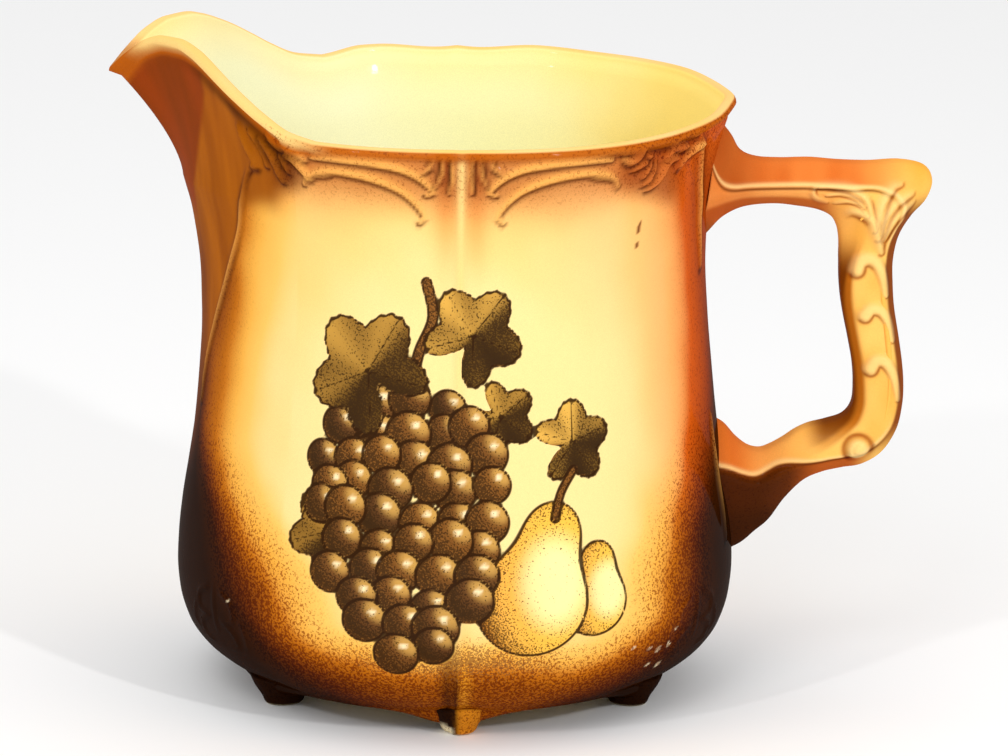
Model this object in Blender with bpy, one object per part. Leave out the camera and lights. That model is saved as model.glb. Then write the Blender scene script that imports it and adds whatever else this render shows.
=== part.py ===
# Pitcher: one cast and glazed jug with a beaked lip, six small feet and a square handle.
# Metres, +Z up. The lip points to -X, the handle to +X, and the feet stand on Z = 0.
# Sizes below are in millimetres. Angles round the body are degrees from the front rib (-Y).
import math

import bpy
from mathutils import Vector

MM = 0.001

# Overall sizes, from the body's axis
LIP_REACH = 101.6
HANDLE_REACH = 137.1
RIM_HEIGHT = 173.0
RIM_RADIUS = 79.0
SHOULDER_DROP = 23.0
SHOULDER_HEIGHT = RIM_HEIGHT - SHOULDER_DROP
BELLY_HEIGHT = 36.0
AXIS_X = (LIP_REACH - HANDLE_REACH) / 2

# Heights that the tables below were drawn for: they follow the belly, the shoulder and the rim
DRAWN_BELLY = 36.0
DRAWN_RIM = 173.0
DRAWN_SHOULDER = DRAWN_RIM - 23.0

# Directions from the front rib, and the mean radius that turns lengths into angles
LIP_ANGLE = 270.0
HANDLE_ANGLE = 90.0
BACK_ANGLE = 180.0
ROUND_RADIUS = 75.0

# Wall, rim bead and floor
WALL = 4.6
RIM_WALL = 4.0
BEAD_DEPTH = 2.2
BEAD_STEP = 0.9
FLOOR_TOP = 12.0
BASE_ARCH = 6.6
BASE_DIP = 3.8
BASE_DIP_HALF = 12.0
FOOT_RING_HEIGHT = 5.2
FOOT_RING_RADIUS = 55.0
FOOT_RING_WIDTH = 10.0
RECESS_RADIUS = FOOT_RING_RADIUS - FOOT_RING_WIDTH
RECESS_HEIGHT = 7.2
BASE_MARGIN = 6.0
BASE_RADIUS = FOOT_RING_RADIUS + BASE_MARGIN
RECESS_SLOPE = 1.5
FLOOR_RING_RADIUS = 28.0

# Outline of the body's side: height, radius
BODY_OUTLINE = [
    (8.0, 65.5),
    (11.0, 70.5),
    (15.0, 75.0),
    (20.0, 78.3),
    (28.0, 80.7),
    (DRAWN_BELLY, 81.4),
    (44.0, 81.1),
    (54.0, 80.1),
    (66.0, 78.2),
    (80.0, 76.1),
    (96.0, 74.4),
    (112.0, 72.9),
    (128.0, 72.0),
    (140.0, 72.3),
    (DRAWN_SHOULDER, 73.5),
]
FLARE_POWER = 1.5

# Ribs down the front and the back, and the soft swell of the six panels
RIB_HEIGHT = 1.5
RIB_HALF = 1.7
RIB_DIP = 0.7
RIB_DIP_HALF = 5.5
PANEL_SWELL = 1.3
SWELL_SHARES = [(8.0, 0.4), (60.0, 0.7), (DRAWN_RIM, 1.0)]

# Pouring lip: height of the rim, and how far the rim stands out, by angle from the lip's tip
LIP_RIM_HEIGHT = [
    (0.0, 181.6),
    (3.0, 186.8),
    (6.5, 191.2),
    (10.5, 193.4),
    (15.0, 193.6),
    (20.0, 192.2),
    (26.0, 189.6),
    (32.0, 186.6),
    (38.0, 182.8),
    (44.0, 178.6),
    (51.0, 174.6),
    (58.0, 173.0),
]
LIP_STAND = LIP_REACH - RIM_RADIUS
LIP_SHARPNESS = 4.2
LIP_SPREAD = 58.0
LIP_SHOULDER = 2.6
LIP_SHOULDER_ANGLE = 34.0
LIP_SHOULDER_HALF = 12.0

# Keel under the lip: how far it stands out of the body, and its half-width in degrees
KEEL_STAND = [(76.0, 0.0), (100.0, 0.6), (118.0, 2.1), (136.0, 4.4), (DRAWN_SHOULDER, 6.6)]
KEEL_HALF = [(70.0, 7.0), (91.0, 10.5), (100.0, 12.5), (126.0, 21.0), (DRAWN_SHOULDER, 33.0)]
KEEL_SHARPNESS = 1.1

# The back rim waves a little, and a nib stands at the handle
BACK_RIM_WAVE = [
    (0.0, 1.2), (5.0, 0.8), (18.0, 2.0), (32.0, 1.6), (46.0, 2.0), (62.0, 2.5), (76.0, 2.0), (92.0, 1.8),
    (110.0, 0.4), (130.0, 0.0),
]
NIB_STAND = 0.9
NIB_HALF = 6.0

# Feet: six pads, on the ribs
FOOT_COUNT = 6
FOOT_PROUD = 2.4
FOOT_TUCK = 3.0
FOOT_OUT = BASE_RADIUS + FOOT_PROUD
FOOT_IN = FOOT_RING_RADIUS - FOOT_TUCK
FOOT_HALF = 5.0
FOOT_FLARE = 4.6
FOOT_TOP = 9.4

# Handle: outer edge, inner edge (x, z), half depth, and the shares that bound its front face
HANDLE_STATIONS = [
    ((74.6, 168.0), (69.3, 131.0), 14.5, 0.40, 0.52),
    ((78.6, 163.0), (72.4, 134.6), 12.4, 0.42, 0.52),
    ((81.4, 158.4), (76.5, 139.0), 10.6, 0.43, 0.53),
    ((86.0, 156.4), (82.5, 142.0), 9.4, 0.44, 0.54),
    ((93.0, 156.0), (91.0, 143.0), 9.0, 0.44, 0.54),
    ((101.6, 156.2), (98.5, 142.3), 8.8, 0.44, 0.56),
    ((109.5, 155.6), (104.0, 141.3), 8.9, 0.42, 0.60),
    ((118.5, 155.4), (107.8, 139.4), 9.2, 0.38, 0.64),
    ((127.5, 155.9), (109.5, 136.6), 9.4, 0.34, 0.66),
    ((134.6, 154.4), (110.2, 133.6), 9.2, 0.30, 0.66),
    ((HANDLE_REACH, 150.3), (110.4, 130.6), 8.8, 0.28, 0.68),
    ((135.6, 145.2), (110.4, 127.8), 8.5, 0.27, 0.70),
    ((131.6, 140.6), (110.5, 125.2), 8.2, 0.26, 0.74),
    ((127.9, 134.4), (110.6, 121.8), 8.0, 0.25, 0.78),
    ((126.3, 127.0), (110.9, 118.0), 8.0, 0.24, 0.80),
    ((126.4, 119.6), (111.4, 114.2), 8.0, 0.23, 0.82),
    ((127.0, 112.6), (112.3, 109.4), 8.0, 0.23, 0.82),
    ((128.4, 104.6), (113.7, 103.0), 8.0, 0.23, 0.82),
    ((129.7, 96.4), (115.1, 95.8), 8.0, 0.23, 0.82),
    ((130.3, 89.8), (115.6, 89.4), 8.0, 0.24, 0.82),
    ((130.1, 83.4), (115.2, 83.6), 8.1, 0.26, 0.82),
    ((128.6, 76.2), (112.6, 79.9), 8.2, 0.30, 0.80),
    ((124.6, 69.4), (107.7, 78.2), 8.4, 0.36, 0.74),
    ((118.9, 65.6), (102.8, 77.0), 8.6, 0.44, 0.66),
    ((112.8, 64.4), (98.8, 75.1), 8.8, 0.50, 0.62),
    ((107.0, 63.0), (95.4, 72.7), 9.0, 0.50, 0.60),
    ((101.6, 60.4), (91.8, 70.6), 9.4, 0.48, 0.58),
    ((96.2, 54.8), (88.6, 69.5), 10.2, 0.42, 0.52),
    ((91.8, 48.4), (85.1, 70.3), 11.2, 0.36, 0.46),
    ((87.6, 44.6), (81.6, 73.0), 12.4, 0.32, 0.42),
    ((83.8, 41.2), (78.0, 77.0), 13.6, 0.30, 0.40),
    ((78.9, 38.6), (73.6, 79.4), 14.6, 0.30, 0.38),
]
HANDLE_EDGE_HALF = 3.4

# Relief on each upper quarter: angle from the rib, height, for the scrolls and leaf strokes
SCROLL_WIDTH = 3.4
SCROLL_RELIEF = 1.0
SCROLLS = [
    [(35.0, 166.8), (24.0, 167.4), (15.5, 166.8), (9.5, 164.6), (6.6, 161.2), (8.2, 158.8)],
    [(35.6, 159.6), (31.0, 162.0), (22.0, 162.2), (13.5, 158.8), (8.6, 153.6), (9.6, 150.2)],
]
LEAF_WIDTH = 3.8
LEAF_RELIEF = 1.3
LIP_LEAVES = [
    [(38.0, 161.6), (42.5, 165.2), (47.5, 171.2)],
    [(35.6, 153.6), (39.0, 159.0), (43.6, 162.0)],
    [(42.0, 152.6), (45.4, 156.4), (49.2, 161.0)],
]
HANDLE_LEAVES = [
    [(38.6, 164.0), (42.5, 166.6), (47.5, 167.6)],
    [(39.6, 158.6), (43.6, 161.8), (46.0, 165.0)],
    [(41.4, 153.4), (46.4, 158.8), (50.0, 164.0), (54.5, 166.0)],
    [(47.6, 152.6), (52.4, 158.6), (58.0, 162.6)],
]
CREASE_WIDTH = 3.0
CREASE_RELIEF = 0.8
LIP_CREASE = [(48.6, 168.0), (55.0, 158.6), (61.0, 141.0), (69.0, 126.0), (77.6, 101.0), (79.6, 86.0)]
HANDLE_CREASES = [
    [(66.0, 166.0), (69.6, 156.0), (74.4, 140.0), (77.0, 128.0)],
    [(78.4, 82.0), (77.4, 64.0), (78.4, 48.0)],
]
FOOT_CURLS = [
    [(52.0, 33.0), (48.6, 28.6), (51.4, 24.4), (49.6, 18.4)],
    [(68.0, 33.0), (71.4, 28.6), (68.6, 24.4), (70.4, 18.4)],
]

# Relief on the handle's faces: x, z
VINE_WIDTH = 2.6
VINE_RELIEF = 1.2
HANDLE_STROKES = [
    [(103.6, 147.6), (109.0, 150.0), (115.0, 146.6)],
    [(110.8, 141.6), (116.4, 143.4), (118.6, 137.0), (119.6, 131.0)],
    [(121.0, 139.0), (124.6, 146.4), (131.4, 150.6)],
    [(121.4, 132.6), (125.4, 138.6), (129.8, 142.4)],
    [(115.0, 125.2), (118.6, 128.0), (121.6, 122.0)],
    [(117.6, 112.0), (120.8, 114.6), (123.6, 108.6)],
    [(119.6, 96.4), (123.0, 98.6), (125.8, 92.0), (125.4, 82.0)],
]
BUTTON_AT = (119.0, 71.2)
BUTTON_RADIUS = 4.0
BUTTON_RELIEF = 1.8

# Columns of the body, as angles from the lip, and rows of its walls
COLUMNS = [
    0.0, 3.0, 6.5, 10.5, 15.0, 20.0, 26.0, 32.0, 38.0, 44.0, 51.0, 58.0, 66.0, 74.0, 81.0, 85.6, 88.5,
    90.0, 91.5, 94.4, 99.0, 106.0, 114.0, 122.0, 130.0, 138.0, 146.0, 153.0, 160.0, 167.0, 173.5, 180.0,
]
FLARE_ROWS = [0.82, 0.66, 0.50, 0.34, 0.17]
SIDE_ROWS = [150.0, 140.0, 128.0, 112.0, 96.0, 80.0, 66.0, 54.0, 44.0, 36.0, 28.0, 20.0, 15.0, 11.0, 8.0]
INSIDE_FLARE_ROWS = [0.78, 0.50, 0.22]
INSIDE_ROWS = [146.0, 120.0, 90.0, 62.0, 40.0, 26.0]
INSIDE_CORNER = [(17.0, 68.0), (13.4, 60.0), (FLOOR_TOP, 50.0)]


def smooth_at(table, x):
    """A smooth curve through the table's points that doesn't overshoot them."""
    if x <= table[0][0]:
        return table[0][1]
    if x >= table[-1][0]:
        return table[-1][1]
    steps = [(b[1] - a[1]) / (b[0] - a[0]) for a, b in zip(table, table[1:])]
    slopes = [steps[0]]
    for a, b in zip(steps, steps[1:]):
        slopes.append(0.0 if a * b <= 0 else 2 * a * b / (a + b))
    slopes.append(steps[-1])
    k = max(i for i in range(len(table) - 1) if table[i][0] <= x)
    (x0, y0), (x1, y1) = table[k], table[k + 1]
    t = (x - x0) / (x1 - x0)
    rise = (x1 - x0) * (slopes[k] * (t**3 - 2 * t * t + t) + slopes[k + 1] * (t**3 - t * t))
    return y0 + (y1 - y0) * (3 * t * t - 2 * t**3) + rise


def follow(height):
    """Where a drawn height comes to be, now that belly, shoulder and rim stand where they do."""
    drawn = (FLOOR_TOP, DRAWN_BELLY, DRAWN_SHOULDER, DRAWN_RIM)
    built = (FLOOR_TOP, BELLY_HEIGHT, SHOULDER_HEIGHT, RIM_HEIGHT)
    if height <= FLOOR_TOP:
        return height
    for k in range(1, len(drawn)):
        if height <= drawn[k]:
            share = (built[k] - built[k - 1]) / (drawn[k] - drawn[k - 1])
            return built[k - 1] + (height - drawn[k - 1]) * share
    return RIM_HEIGHT + height - DRAWN_RIM


def followed(table):
    return [(follow(height), value) for height, value in table]


def turn_from(angle, other):
    """The unsigned turn between two directions, in degrees."""
    return abs((angle - other + 180.0) % 360.0 - 180.0)


def rim_height(angle):
    from_lip = turn_from(angle, LIP_ANGLE)
    height = follow(smooth_at(LIP_RIM_HEIGHT, from_lip))
    if from_lip > LIP_SPREAD:
        height += smooth_at(BACK_RIM_WAVE, turn_from(angle, BACK_ANGLE))
    return height


def panel_swell(angle, height):
    """The six panels stand a little prouder than the lines of the feet."""
    spacing = 360.0 / FOOT_COUNT
    from_foot = (angle + spacing / 2) % spacing - spacing / 2
    share = smooth_at(followed(SWELL_SHARES), height)
    return -PANEL_SWELL * share * math.cos(math.pi * from_foot / spacing) ** 2


def lip_stand(angle):
    """How far the rim stands out of its circle round the lip, and at the handle's nib."""
    from_lip = turn_from(angle, LIP_ANGLE)
    beak = max(0.0, 1 - from_lip / LIP_SPREAD) ** LIP_SHARPNESS
    shoulder = math.exp(-(((from_lip - LIP_SHOULDER_ANGLE) / LIP_SHOULDER_HALF) ** 2))
    nib = math.exp(-((turn_from(angle, HANDLE_ANGLE) / NIB_HALF) ** 2))
    return LIP_STAND * beak + LIP_SHOULDER * shoulder + NIB_STAND * nib


def plain_radius(angle, height):
    """The body's outer radius, without the ribs."""
    from_lip = turn_from(angle, LIP_ANGLE)
    low = min(height, SHOULDER_HEIGHT)
    keel = max(0.0, 1 - from_lip / smooth_at(followed(KEEL_HALF), low)) ** KEEL_SHARPNESS
    radius = smooth_at(followed(BODY_OUTLINE), low) + smooth_at(followed(KEEL_STAND), low) * keel
    if height > SHOULDER_HEIGHT:
        share = min(1.0, (height - SHOULDER_HEIGHT) / (rim_height(angle) - SHOULDER_HEIGHT))
        out = RIM_RADIUS + lip_stand(angle) - radius
        radius += out * share**FLARE_POWER
    return radius + panel_swell(angle, height)


def rib(angle, height):
    across = math.radians(min(turn_from(angle, 0.0), turn_from(angle, BACK_ANGLE))) * ROUND_RADIUS
    ridge = RIB_HEIGHT * math.exp(-((across / RIB_HALF) ** 2))
    dip = RIB_DIP * math.exp(-((across / RIB_DIP_HALF) ** 2))
    return ridge - dip


def outer_radius(angle, height):
    return plain_radius(angle, height) + rib(angle, height)


def on_body(angle, height, lift=0.0):
    radius = outer_radius(angle, height) + lift
    turn = math.radians(angle)
    return Vector((AXIS_X + radius * math.sin(turn), -radius * math.cos(turn), height)) * MM


def new_object(name, points, faces):
    mesh = bpy.data.meshes.new(name)
    mesh.from_pydata([tuple(p) for p in points], [], faces)
    mesh.validate()
    body = bpy.data.objects.new(name, mesh)
    bpy.context.scene.collection.objects.link(body)
    return body


def rings_to_mesh(name, rings, first_point=None, last_point=None):
    """Closes a stack of rings with quads, and its ends with a fan or one face."""
    count = len(rings[0])
    points = [p for ring in rings for p in ring]
    faces = []
    for r in range(len(rings) - 1):
        for c in range(count):
            d = (c + 1) % count
            faces.append((r * count + c, r * count + d, (r + 1) * count + d, (r + 1) * count + c))
    last = (len(rings) - 1) * count
    if first_point is None:
        faces.append(tuple(reversed(range(count))))
    else:
        points.append(first_point)
        faces += [((c + 1) % count, c, len(points) - 1) for c in range(count)]
    if last_point is None:
        faces.append(tuple(range(last, last + count)))
    else:
        points.append(last_point)
        faces += [(last + c, last + (c + 1) % count, len(points) - 1) for c in range(count)]
    return new_object(name, points, faces)


def body_column(angle):
    """Radius and height down one column: inside floor, inside wall, rim, outer wall, underside."""
    rim = rim_height(angle)
    edge = plain_radius(angle, rim) + 0.3 * rib(angle, rim)
    spots = [(FLOOR_RING_RADIUS, FLOOR_TOP)]
    spots += [(radius, height) for height, radius in reversed(INSIDE_CORNER)]
    for height in map(follow, reversed(INSIDE_ROWS)):
        spots.append((plain_radius(angle, height) - WALL, height))
    for share in reversed(INSIDE_FLARE_ROWS):
        height = SHOULDER_HEIGHT + share * (rim - SHOULDER_HEIGHT)
        wall = WALL + (RIM_WALL - WALL) * share
        spots.append((plain_radius(angle, height) - wall, height))
    half = RIM_WALL / 2
    for turn in (0.0, 45.0, 90.0, 135.0, 180.0):
        a = math.radians(turn)
        spots.append((edge - half - half * math.cos(a), rim - BEAD_DEPTH * (1 - math.sin(a))))
    neck = rim - BEAD_DEPTH * 1.6
    step = BEAD_STEP if turn_from(angle, LIP_ANGLE) > 8.0 else 0.0
    spots.append((outer_radius(angle, neck) - step, neck))
    for share in FLARE_ROWS:
        height = SHOULDER_HEIGHT + share * (rim - SHOULDER_HEIGHT)
        spots.append((outer_radius(angle, height), height))
    for height in map(follow, SIDE_ROWS):
        spots.append((outer_radius(angle, height), height))
    spacing = 360.0 / FOOT_COUNT
    from_foot = turn_from((angle + spacing / 2) % spacing, spacing / 2)
    base = BASE_ARCH - BASE_DIP * math.exp(-((from_foot / BASE_DIP_HALF) ** 2))
    spots += [(BASE_RADIUS, base), (FOOT_RING_RADIUS, FOOT_RING_HEIGHT)]
    spots += [(RECESS_RADIUS + RECESS_SLOPE, FOOT_RING_HEIGHT), (RECESS_RADIUS, RECESS_HEIGHT)]
    return spots


def make_body():
    half = [LIP_ANGLE - c for c in COLUMNS]
    angles = half + [LIP_ANGLE - 360.0 + c for c in reversed(COLUMNS[1:-1])]
    columns = []
    for angle in angles:
        turn = math.radians(angle)
        spots = body_column(angle)
        columns.append([(AXIS_X + r * math.sin(turn), -r * math.cos(turn), z) for r, z in spots])
    rings = [[Vector(column[k]) * MM for column in columns] for k in range(len(columns[0]))]
    floor = Vector((AXIS_X, 0.0, FLOOR_TOP)) * MM
    under = Vector((AXIS_X, 0.0, RECESS_HEIGHT)) * MM
    return rings_to_mesh("pitcher", rings, floor, under)


def make_handle():
    rings = []
    for outer, inner, deep, near, far in HANDLE_STATIONS:
        edge = min(HANDLE_EDGE_HALF, 0.45 * deep)
        ring = []
        for share, half in (
            (0.0, edge), (near, deep), (far, deep), (1.0, edge),
            (1.0, -edge), (far, -deep), (near, -deep), (0.0, -edge),
        ):
            x = inner[0] + (outer[0] - inner[0]) * share
            z = follow(inner[1] + (outer[1] - inner[1]) * share)
            ring.append(Vector((AXIS_X + x, half, z)) * MM)
        rings.append(ring)
    return rings_to_mesh("handle", rings)


def make_feet():
    feet = []
    for k in range(FOOT_COUNT):
        turn = math.radians(k * 360.0 / FOOT_COUNT)
        out = Vector((math.sin(turn), -math.cos(turn), 0.0))
        side = Vector((math.cos(turn), math.sin(turn), 0.0))
        middle = (FOOT_OUT + FOOT_IN) / 2
        rings = []
        for height, grow in ((0.0, 0.0), (1.2, 0.15 * FOOT_FLARE), (4.4, 0.5 * FOOT_FLARE), (FOOT_TOP, FOOT_FLARE)):
            ring = []
            for c in range(10):
                a = math.radians(36.0 * c)
                along = (middle - FOOT_IN + grow) * math.cos(a)
                across = (FOOT_HALF + grow) * math.sin(a)
                spot = out * (middle + along) + side * across
                ring.append((spot + Vector((AXIS_X, 0.0, height))) * MM)
            rings.append(ring)
        feet.append(rings_to_mesh(f"foot_{k}", rings))
    return feet


def curve_through(path, count):
    """Points evenly shared along a smooth curve through the path's points."""
    run = [0.0]
    for a, b in zip(path, path[1:]):
        run.append(run[-1] + math.hypot(b[0] - a[0], b[1] - a[1]))
    points = []
    for k in range(count):
        s = run[-1] * k / (count - 1)
        i = min(len(path) - 2, max(j for j in range(len(path)) if run[j] <= s + 1e-9))
        t = (s - run[i]) / (run[i + 1] - run[i])
        before = path[max(0, i - 1)]
        after = path[min(len(path) - 1, i + 2)]
        point = []
        for d in range(2):
            p0, p1, p2, p3 = before[d], path[i][d], path[i + 1][d], after[d]
            bend = (2 * p0 - 5 * p1 + 4 * p2 - p3) * t * t + (3 * p1 - p0 - 3 * p2 + p3) * t**3
            point.append(p1 + 0.5 * ((p2 - p0) * t + bend))
        points.append(point)
    return points


def ridge_strip(name, path, width, relief, count, place):
    """A raised stroke along a path, with a round crest and a foot sunk into the surface."""
    points = curve_through(path, count)
    rings = []
    for k, (u, v) in enumerate(points):
        a = points[max(0, k - 1)]
        b = points[min(count - 1, k + 1)]
        way = Vector((b[0] - a[0], b[1] - a[1])).normalized()
        share = k / (count - 1)
        full = 0.35 + 0.65 * math.sin(math.pi * (0.12 + 0.82 * share)) ** 0.7
        half = width / 2 * full
        left = (u - way[1] * half, v + way[0] * half)
        right = (u + way[1] * half, v - way[0] * half)
        rings.append(
            [place(left, -0.5), place((u, v), relief * full), place(right, -0.5), place((u, v), -1.8)]
        )
    return rings_to_mesh(name, rings)


def quarter_place(side, back):
    """Places a point, given as length round the body from its rib and height, on one quarter."""

    def place(point, lift):
        angle = side * math.degrees(point[0] / ROUND_RADIUS)
        return on_body(BACK_ANGLE - angle if back else angle, point[1], lift)

    return place


def handle_place(side):
    def place(point, lift):
        depth = half_depth_at(point) + lift
        return Vector((AXIS_X + point[0], side * depth, follow(point[1]))) * MM

    return place


def half_depth_at(point):
    """The handle's half depth at the station nearest to the point."""

    def gap(station):
        middle = [(station[0][d] + station[1][d]) / 2 for d in range(2)]
        return math.hypot(middle[0] - point[0], middle[1] - point[1])

    return min(HANDLE_STATIONS, key=gap)[2]


def make_relief():
    strokes = []

    def add(path, width, relief, count, side, back):
        run = [(math.radians(a) * ROUND_RADIUS, follow(h)) for a, h in path]
        place = quarter_place(side, back)
        strokes.append(ridge_strip(f"stroke_{len(strokes)}", run, width, relief, count, place))

    for back in (False, True):
        for side in (-1, 1):
            for path in SCROLLS:
                add(path, SCROLL_WIDTH, SCROLL_RELIEF, 10, side, back)
            for path in LIP_LEAVES if side < 0 else HANDLE_LEAVES:
                add(path, LEAF_WIDTH, LEAF_RELIEF, 5, side, back)
            for path in [LIP_CREASE] if side < 0 else HANDLE_CREASES:
                add(path, CREASE_WIDTH, CREASE_RELIEF, 7, side, back)
            for path in FOOT_CURLS:
                add(path, LEAF_WIDTH, LEAF_RELIEF, 5, side, back)
    for side in (-1, 1):
        for path in HANDLE_STROKES:
            place = handle_place(side)
            name = f"stroke_{len(strokes)}"
            strokes.append(ridge_strip(name, path, VINE_WIDTH, VINE_RELIEF, 5, place))
        strokes.append(make_button(side, len(strokes)))
    return strokes


def make_button(side, number):
    """The round boss at the handle's lower corner."""
    rings = []
    face = half_depth_at(BUTTON_AT)
    for radius, lift in ((BUTTON_RADIUS, -1.2), (BUTTON_RADIUS, 0.6), (0.55 * BUTTON_RADIUS, BUTTON_RELIEF)):
        ring = []
        for c in range(8):
            a = math.radians(45.0 * c)
            x = BUTTON_AT[0] + radius * math.cos(a)
            z = follow(BUTTON_AT[1]) + radius * math.sin(a)
            ring.append(Vector((AXIS_X + x, side * (face + lift), z)) * MM)
        rings.append(ring)
    return rings_to_mesh(f"stroke_{number}", rings)


def face_outward(body):
    """Turns the faces outward, whichever way round the rings ran."""
    mesh = body.data
    volume = 0.0
    mesh.calc_loop_triangles()
    for tri in mesh.loop_triangles:
        a, b, c = (mesh.vertices[i].co for i in tri.vertices)
        volume += a.dot(b.cross(c))
    if volume < 0:
        mesh.flip_normals()


def join_on(body, pieces, name):
    """Unions the pieces, which don't meet each other, onto the body as one Boolean."""
    points = []
    faces = []
    for piece in pieces:
        face_outward(piece)
        start = len(points)
        points += [v.co.copy() for v in piece.data.vertices]
        faces += [tuple(start + i for i in face.vertices) for face in piece.data.polygons]
        bpy.data.objects.remove(piece)
    tool = new_object(name, points, faces)
    tool.hide_render = True
    tool.display_type = "WIRE"
    union = body.modifiers.new(name, "BOOLEAN")
    union.operation = "UNION"
    union.solver = "EXACT"
    union.use_self = True
    union.object = tool


def glaze():
    material = bpy.data.materials.new("glaze")
    material.use_nodes = True
    shader = material.node_tree.nodes["Principled BSDF"]
    shader.inputs["Base Color"].default_value = (0.79, 0.50, 0.17, 1.0)
    shader.inputs["Roughness"].default_value = 0.12
    return material


for old in list(bpy.data.objects):
    bpy.data.objects.remove(old)
pitcher = make_body()
face_outward(pitcher)
join_on(pitcher, make_feet(), "feet_tool")
join_on(pitcher, [make_handle()], "handle_tool")
join_on(pitcher, make_relief(), "relief_tool")
pitcher.data.materials.append(glaze())
for face in pitcher.data.polygons:
    face.use_smooth = True
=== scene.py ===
# The looks of a cast and glazed pitcher: airbrushed glaze, printed still life, fine relief.
# Sizes are in millimetres until a mesh is made. Angles run round the body from the front rib.
import math

import bpy
import numpy as np
from mathutils import Matrix, Vector


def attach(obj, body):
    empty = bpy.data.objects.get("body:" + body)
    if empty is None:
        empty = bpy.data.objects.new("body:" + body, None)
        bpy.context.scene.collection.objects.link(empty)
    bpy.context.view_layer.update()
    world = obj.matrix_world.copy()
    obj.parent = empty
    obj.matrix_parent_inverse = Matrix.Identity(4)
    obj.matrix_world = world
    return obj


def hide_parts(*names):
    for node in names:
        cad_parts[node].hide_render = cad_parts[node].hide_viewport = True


MM = 0.001
SEED = 11

# Body sizes, as in the part's source
LIP_REACH = 101.6
HANDLE_REACH = 137.1
RIM_HEIGHT = 173.0
RIM_RADIUS = 79.0
SHOULDER_HEIGHT = 150.0
AXIS_X = (LIP_REACH - HANDLE_REACH) / 2
WALL = 4.6
RIM_WALL = 4.0
BEAD_DEPTH = 2.2
BEAD_STEP = 0.9
FLOOR_TOP = 12.0
BASE_ARCH = 6.6
BASE_DIP = 3.8
BASE_DIP_HALF = 12.0
FOOT_RING_HEIGHT = 5.2
FOOT_RING_RADIUS = 55.0
RECESS_RADIUS = 45.0
BASE_RADIUS = 61.0
WALL_FOOT = 8.0
RECESS_HEIGHT = 7.2
FLARE_POWER = 1.5
RIB_HEIGHT = 1.5
RIB_HALF = 1.7
RIB_DIP = 0.7
RIB_DIP_HALF = 5.5
LEAF_BOLD = 1.25
CURL_BOLD, CURL_SHADE = 0.6, 0.25
PANEL_SWELL = 1.3
ROUND_RADIUS = 75.0
WITHIN = 0.20  # the wall's mean line lies this far inside the solid's

BODY_OUTLINE = [
    (8.0, 65.5), (11.0, 70.5), (15.0, 75.0), (20.0, 78.3), (28.0, 80.7), (36.0, 81.4), (44.0, 81.1),
    (54.0, 80.1), (66.0, 78.2), (80.0, 76.1), (96.0, 74.4), (112.0, 72.9), (128.0, 72.0), (140.0, 72.3),
    (SHOULDER_HEIGHT, 73.5),
]
LIP_RIM_HEIGHT = [
    (0.0, 181.6), (3.0, 186.8), (6.5, 191.2), (10.5, 193.4), (15.0, 193.6), (20.0, 192.2), (26.0, 189.6),
    (32.0, 186.6), (38.0, 182.8), (44.0, 178.6), (51.0, 174.6), (58.0, 173.0),
]
LIP_STAND = LIP_REACH - RIM_RADIUS
LIP_SHARPNESS = 4.2
LIP_SPREAD = 58.0
LIP_SHOULDER = 2.6
LIP_SHOULDER_ANGLE = 34.0
LIP_SHOULDER_HALF = 12.0
KEEL_STAND = [(76.0, 0.0), (100.0, 0.6), (118.0, 2.1), (136.0, 4.4), (SHOULDER_HEIGHT, 6.6)]
KEEL_HALF = [(70.0, 7.0), (91.0, 10.5), (100.0, 12.5), (126.0, 21.0), (SHOULDER_HEIGHT, 33.0)]
KEEL_SHARPNESS = 1.1
BACK_RIM_WAVE = [
    (0.0, 1.2), (5.0, 0.8), (18.0, 2.0), (32.0, 1.6), (46.0, 2.0), (62.0, 2.5), (76.0, 2.0), (92.0, 1.8),
    (110.0, 0.4), (130.0, 0.0),
]
NIB_STAND = 0.9
NIB_HALF = 6.0
INSIDE_CORNER = [(17.0, 68.0), (13.4, 60.0), (FLOOR_TOP, 50.0)]

# Feet, as in the part's source
FOOT_COUNT = 6
FOOT_OUT = 63.4
FOOT_IN = 52.0
FOOT_HALF = 5.0
FOOT_FLARE = 4.6
FOOT_ROUND = 40
FOOT_LEVELS = [  # height, growth all round
    (0.0, -1.2), (0.25, -0.4), (0.8, 0.1), (1.8, 0.5), (3.0, 1.1), (4.4, 2.1), (6.0, 3.1), (7.6, 3.9),
    (9.0, FOOT_FLARE - 0.2),
]

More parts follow.
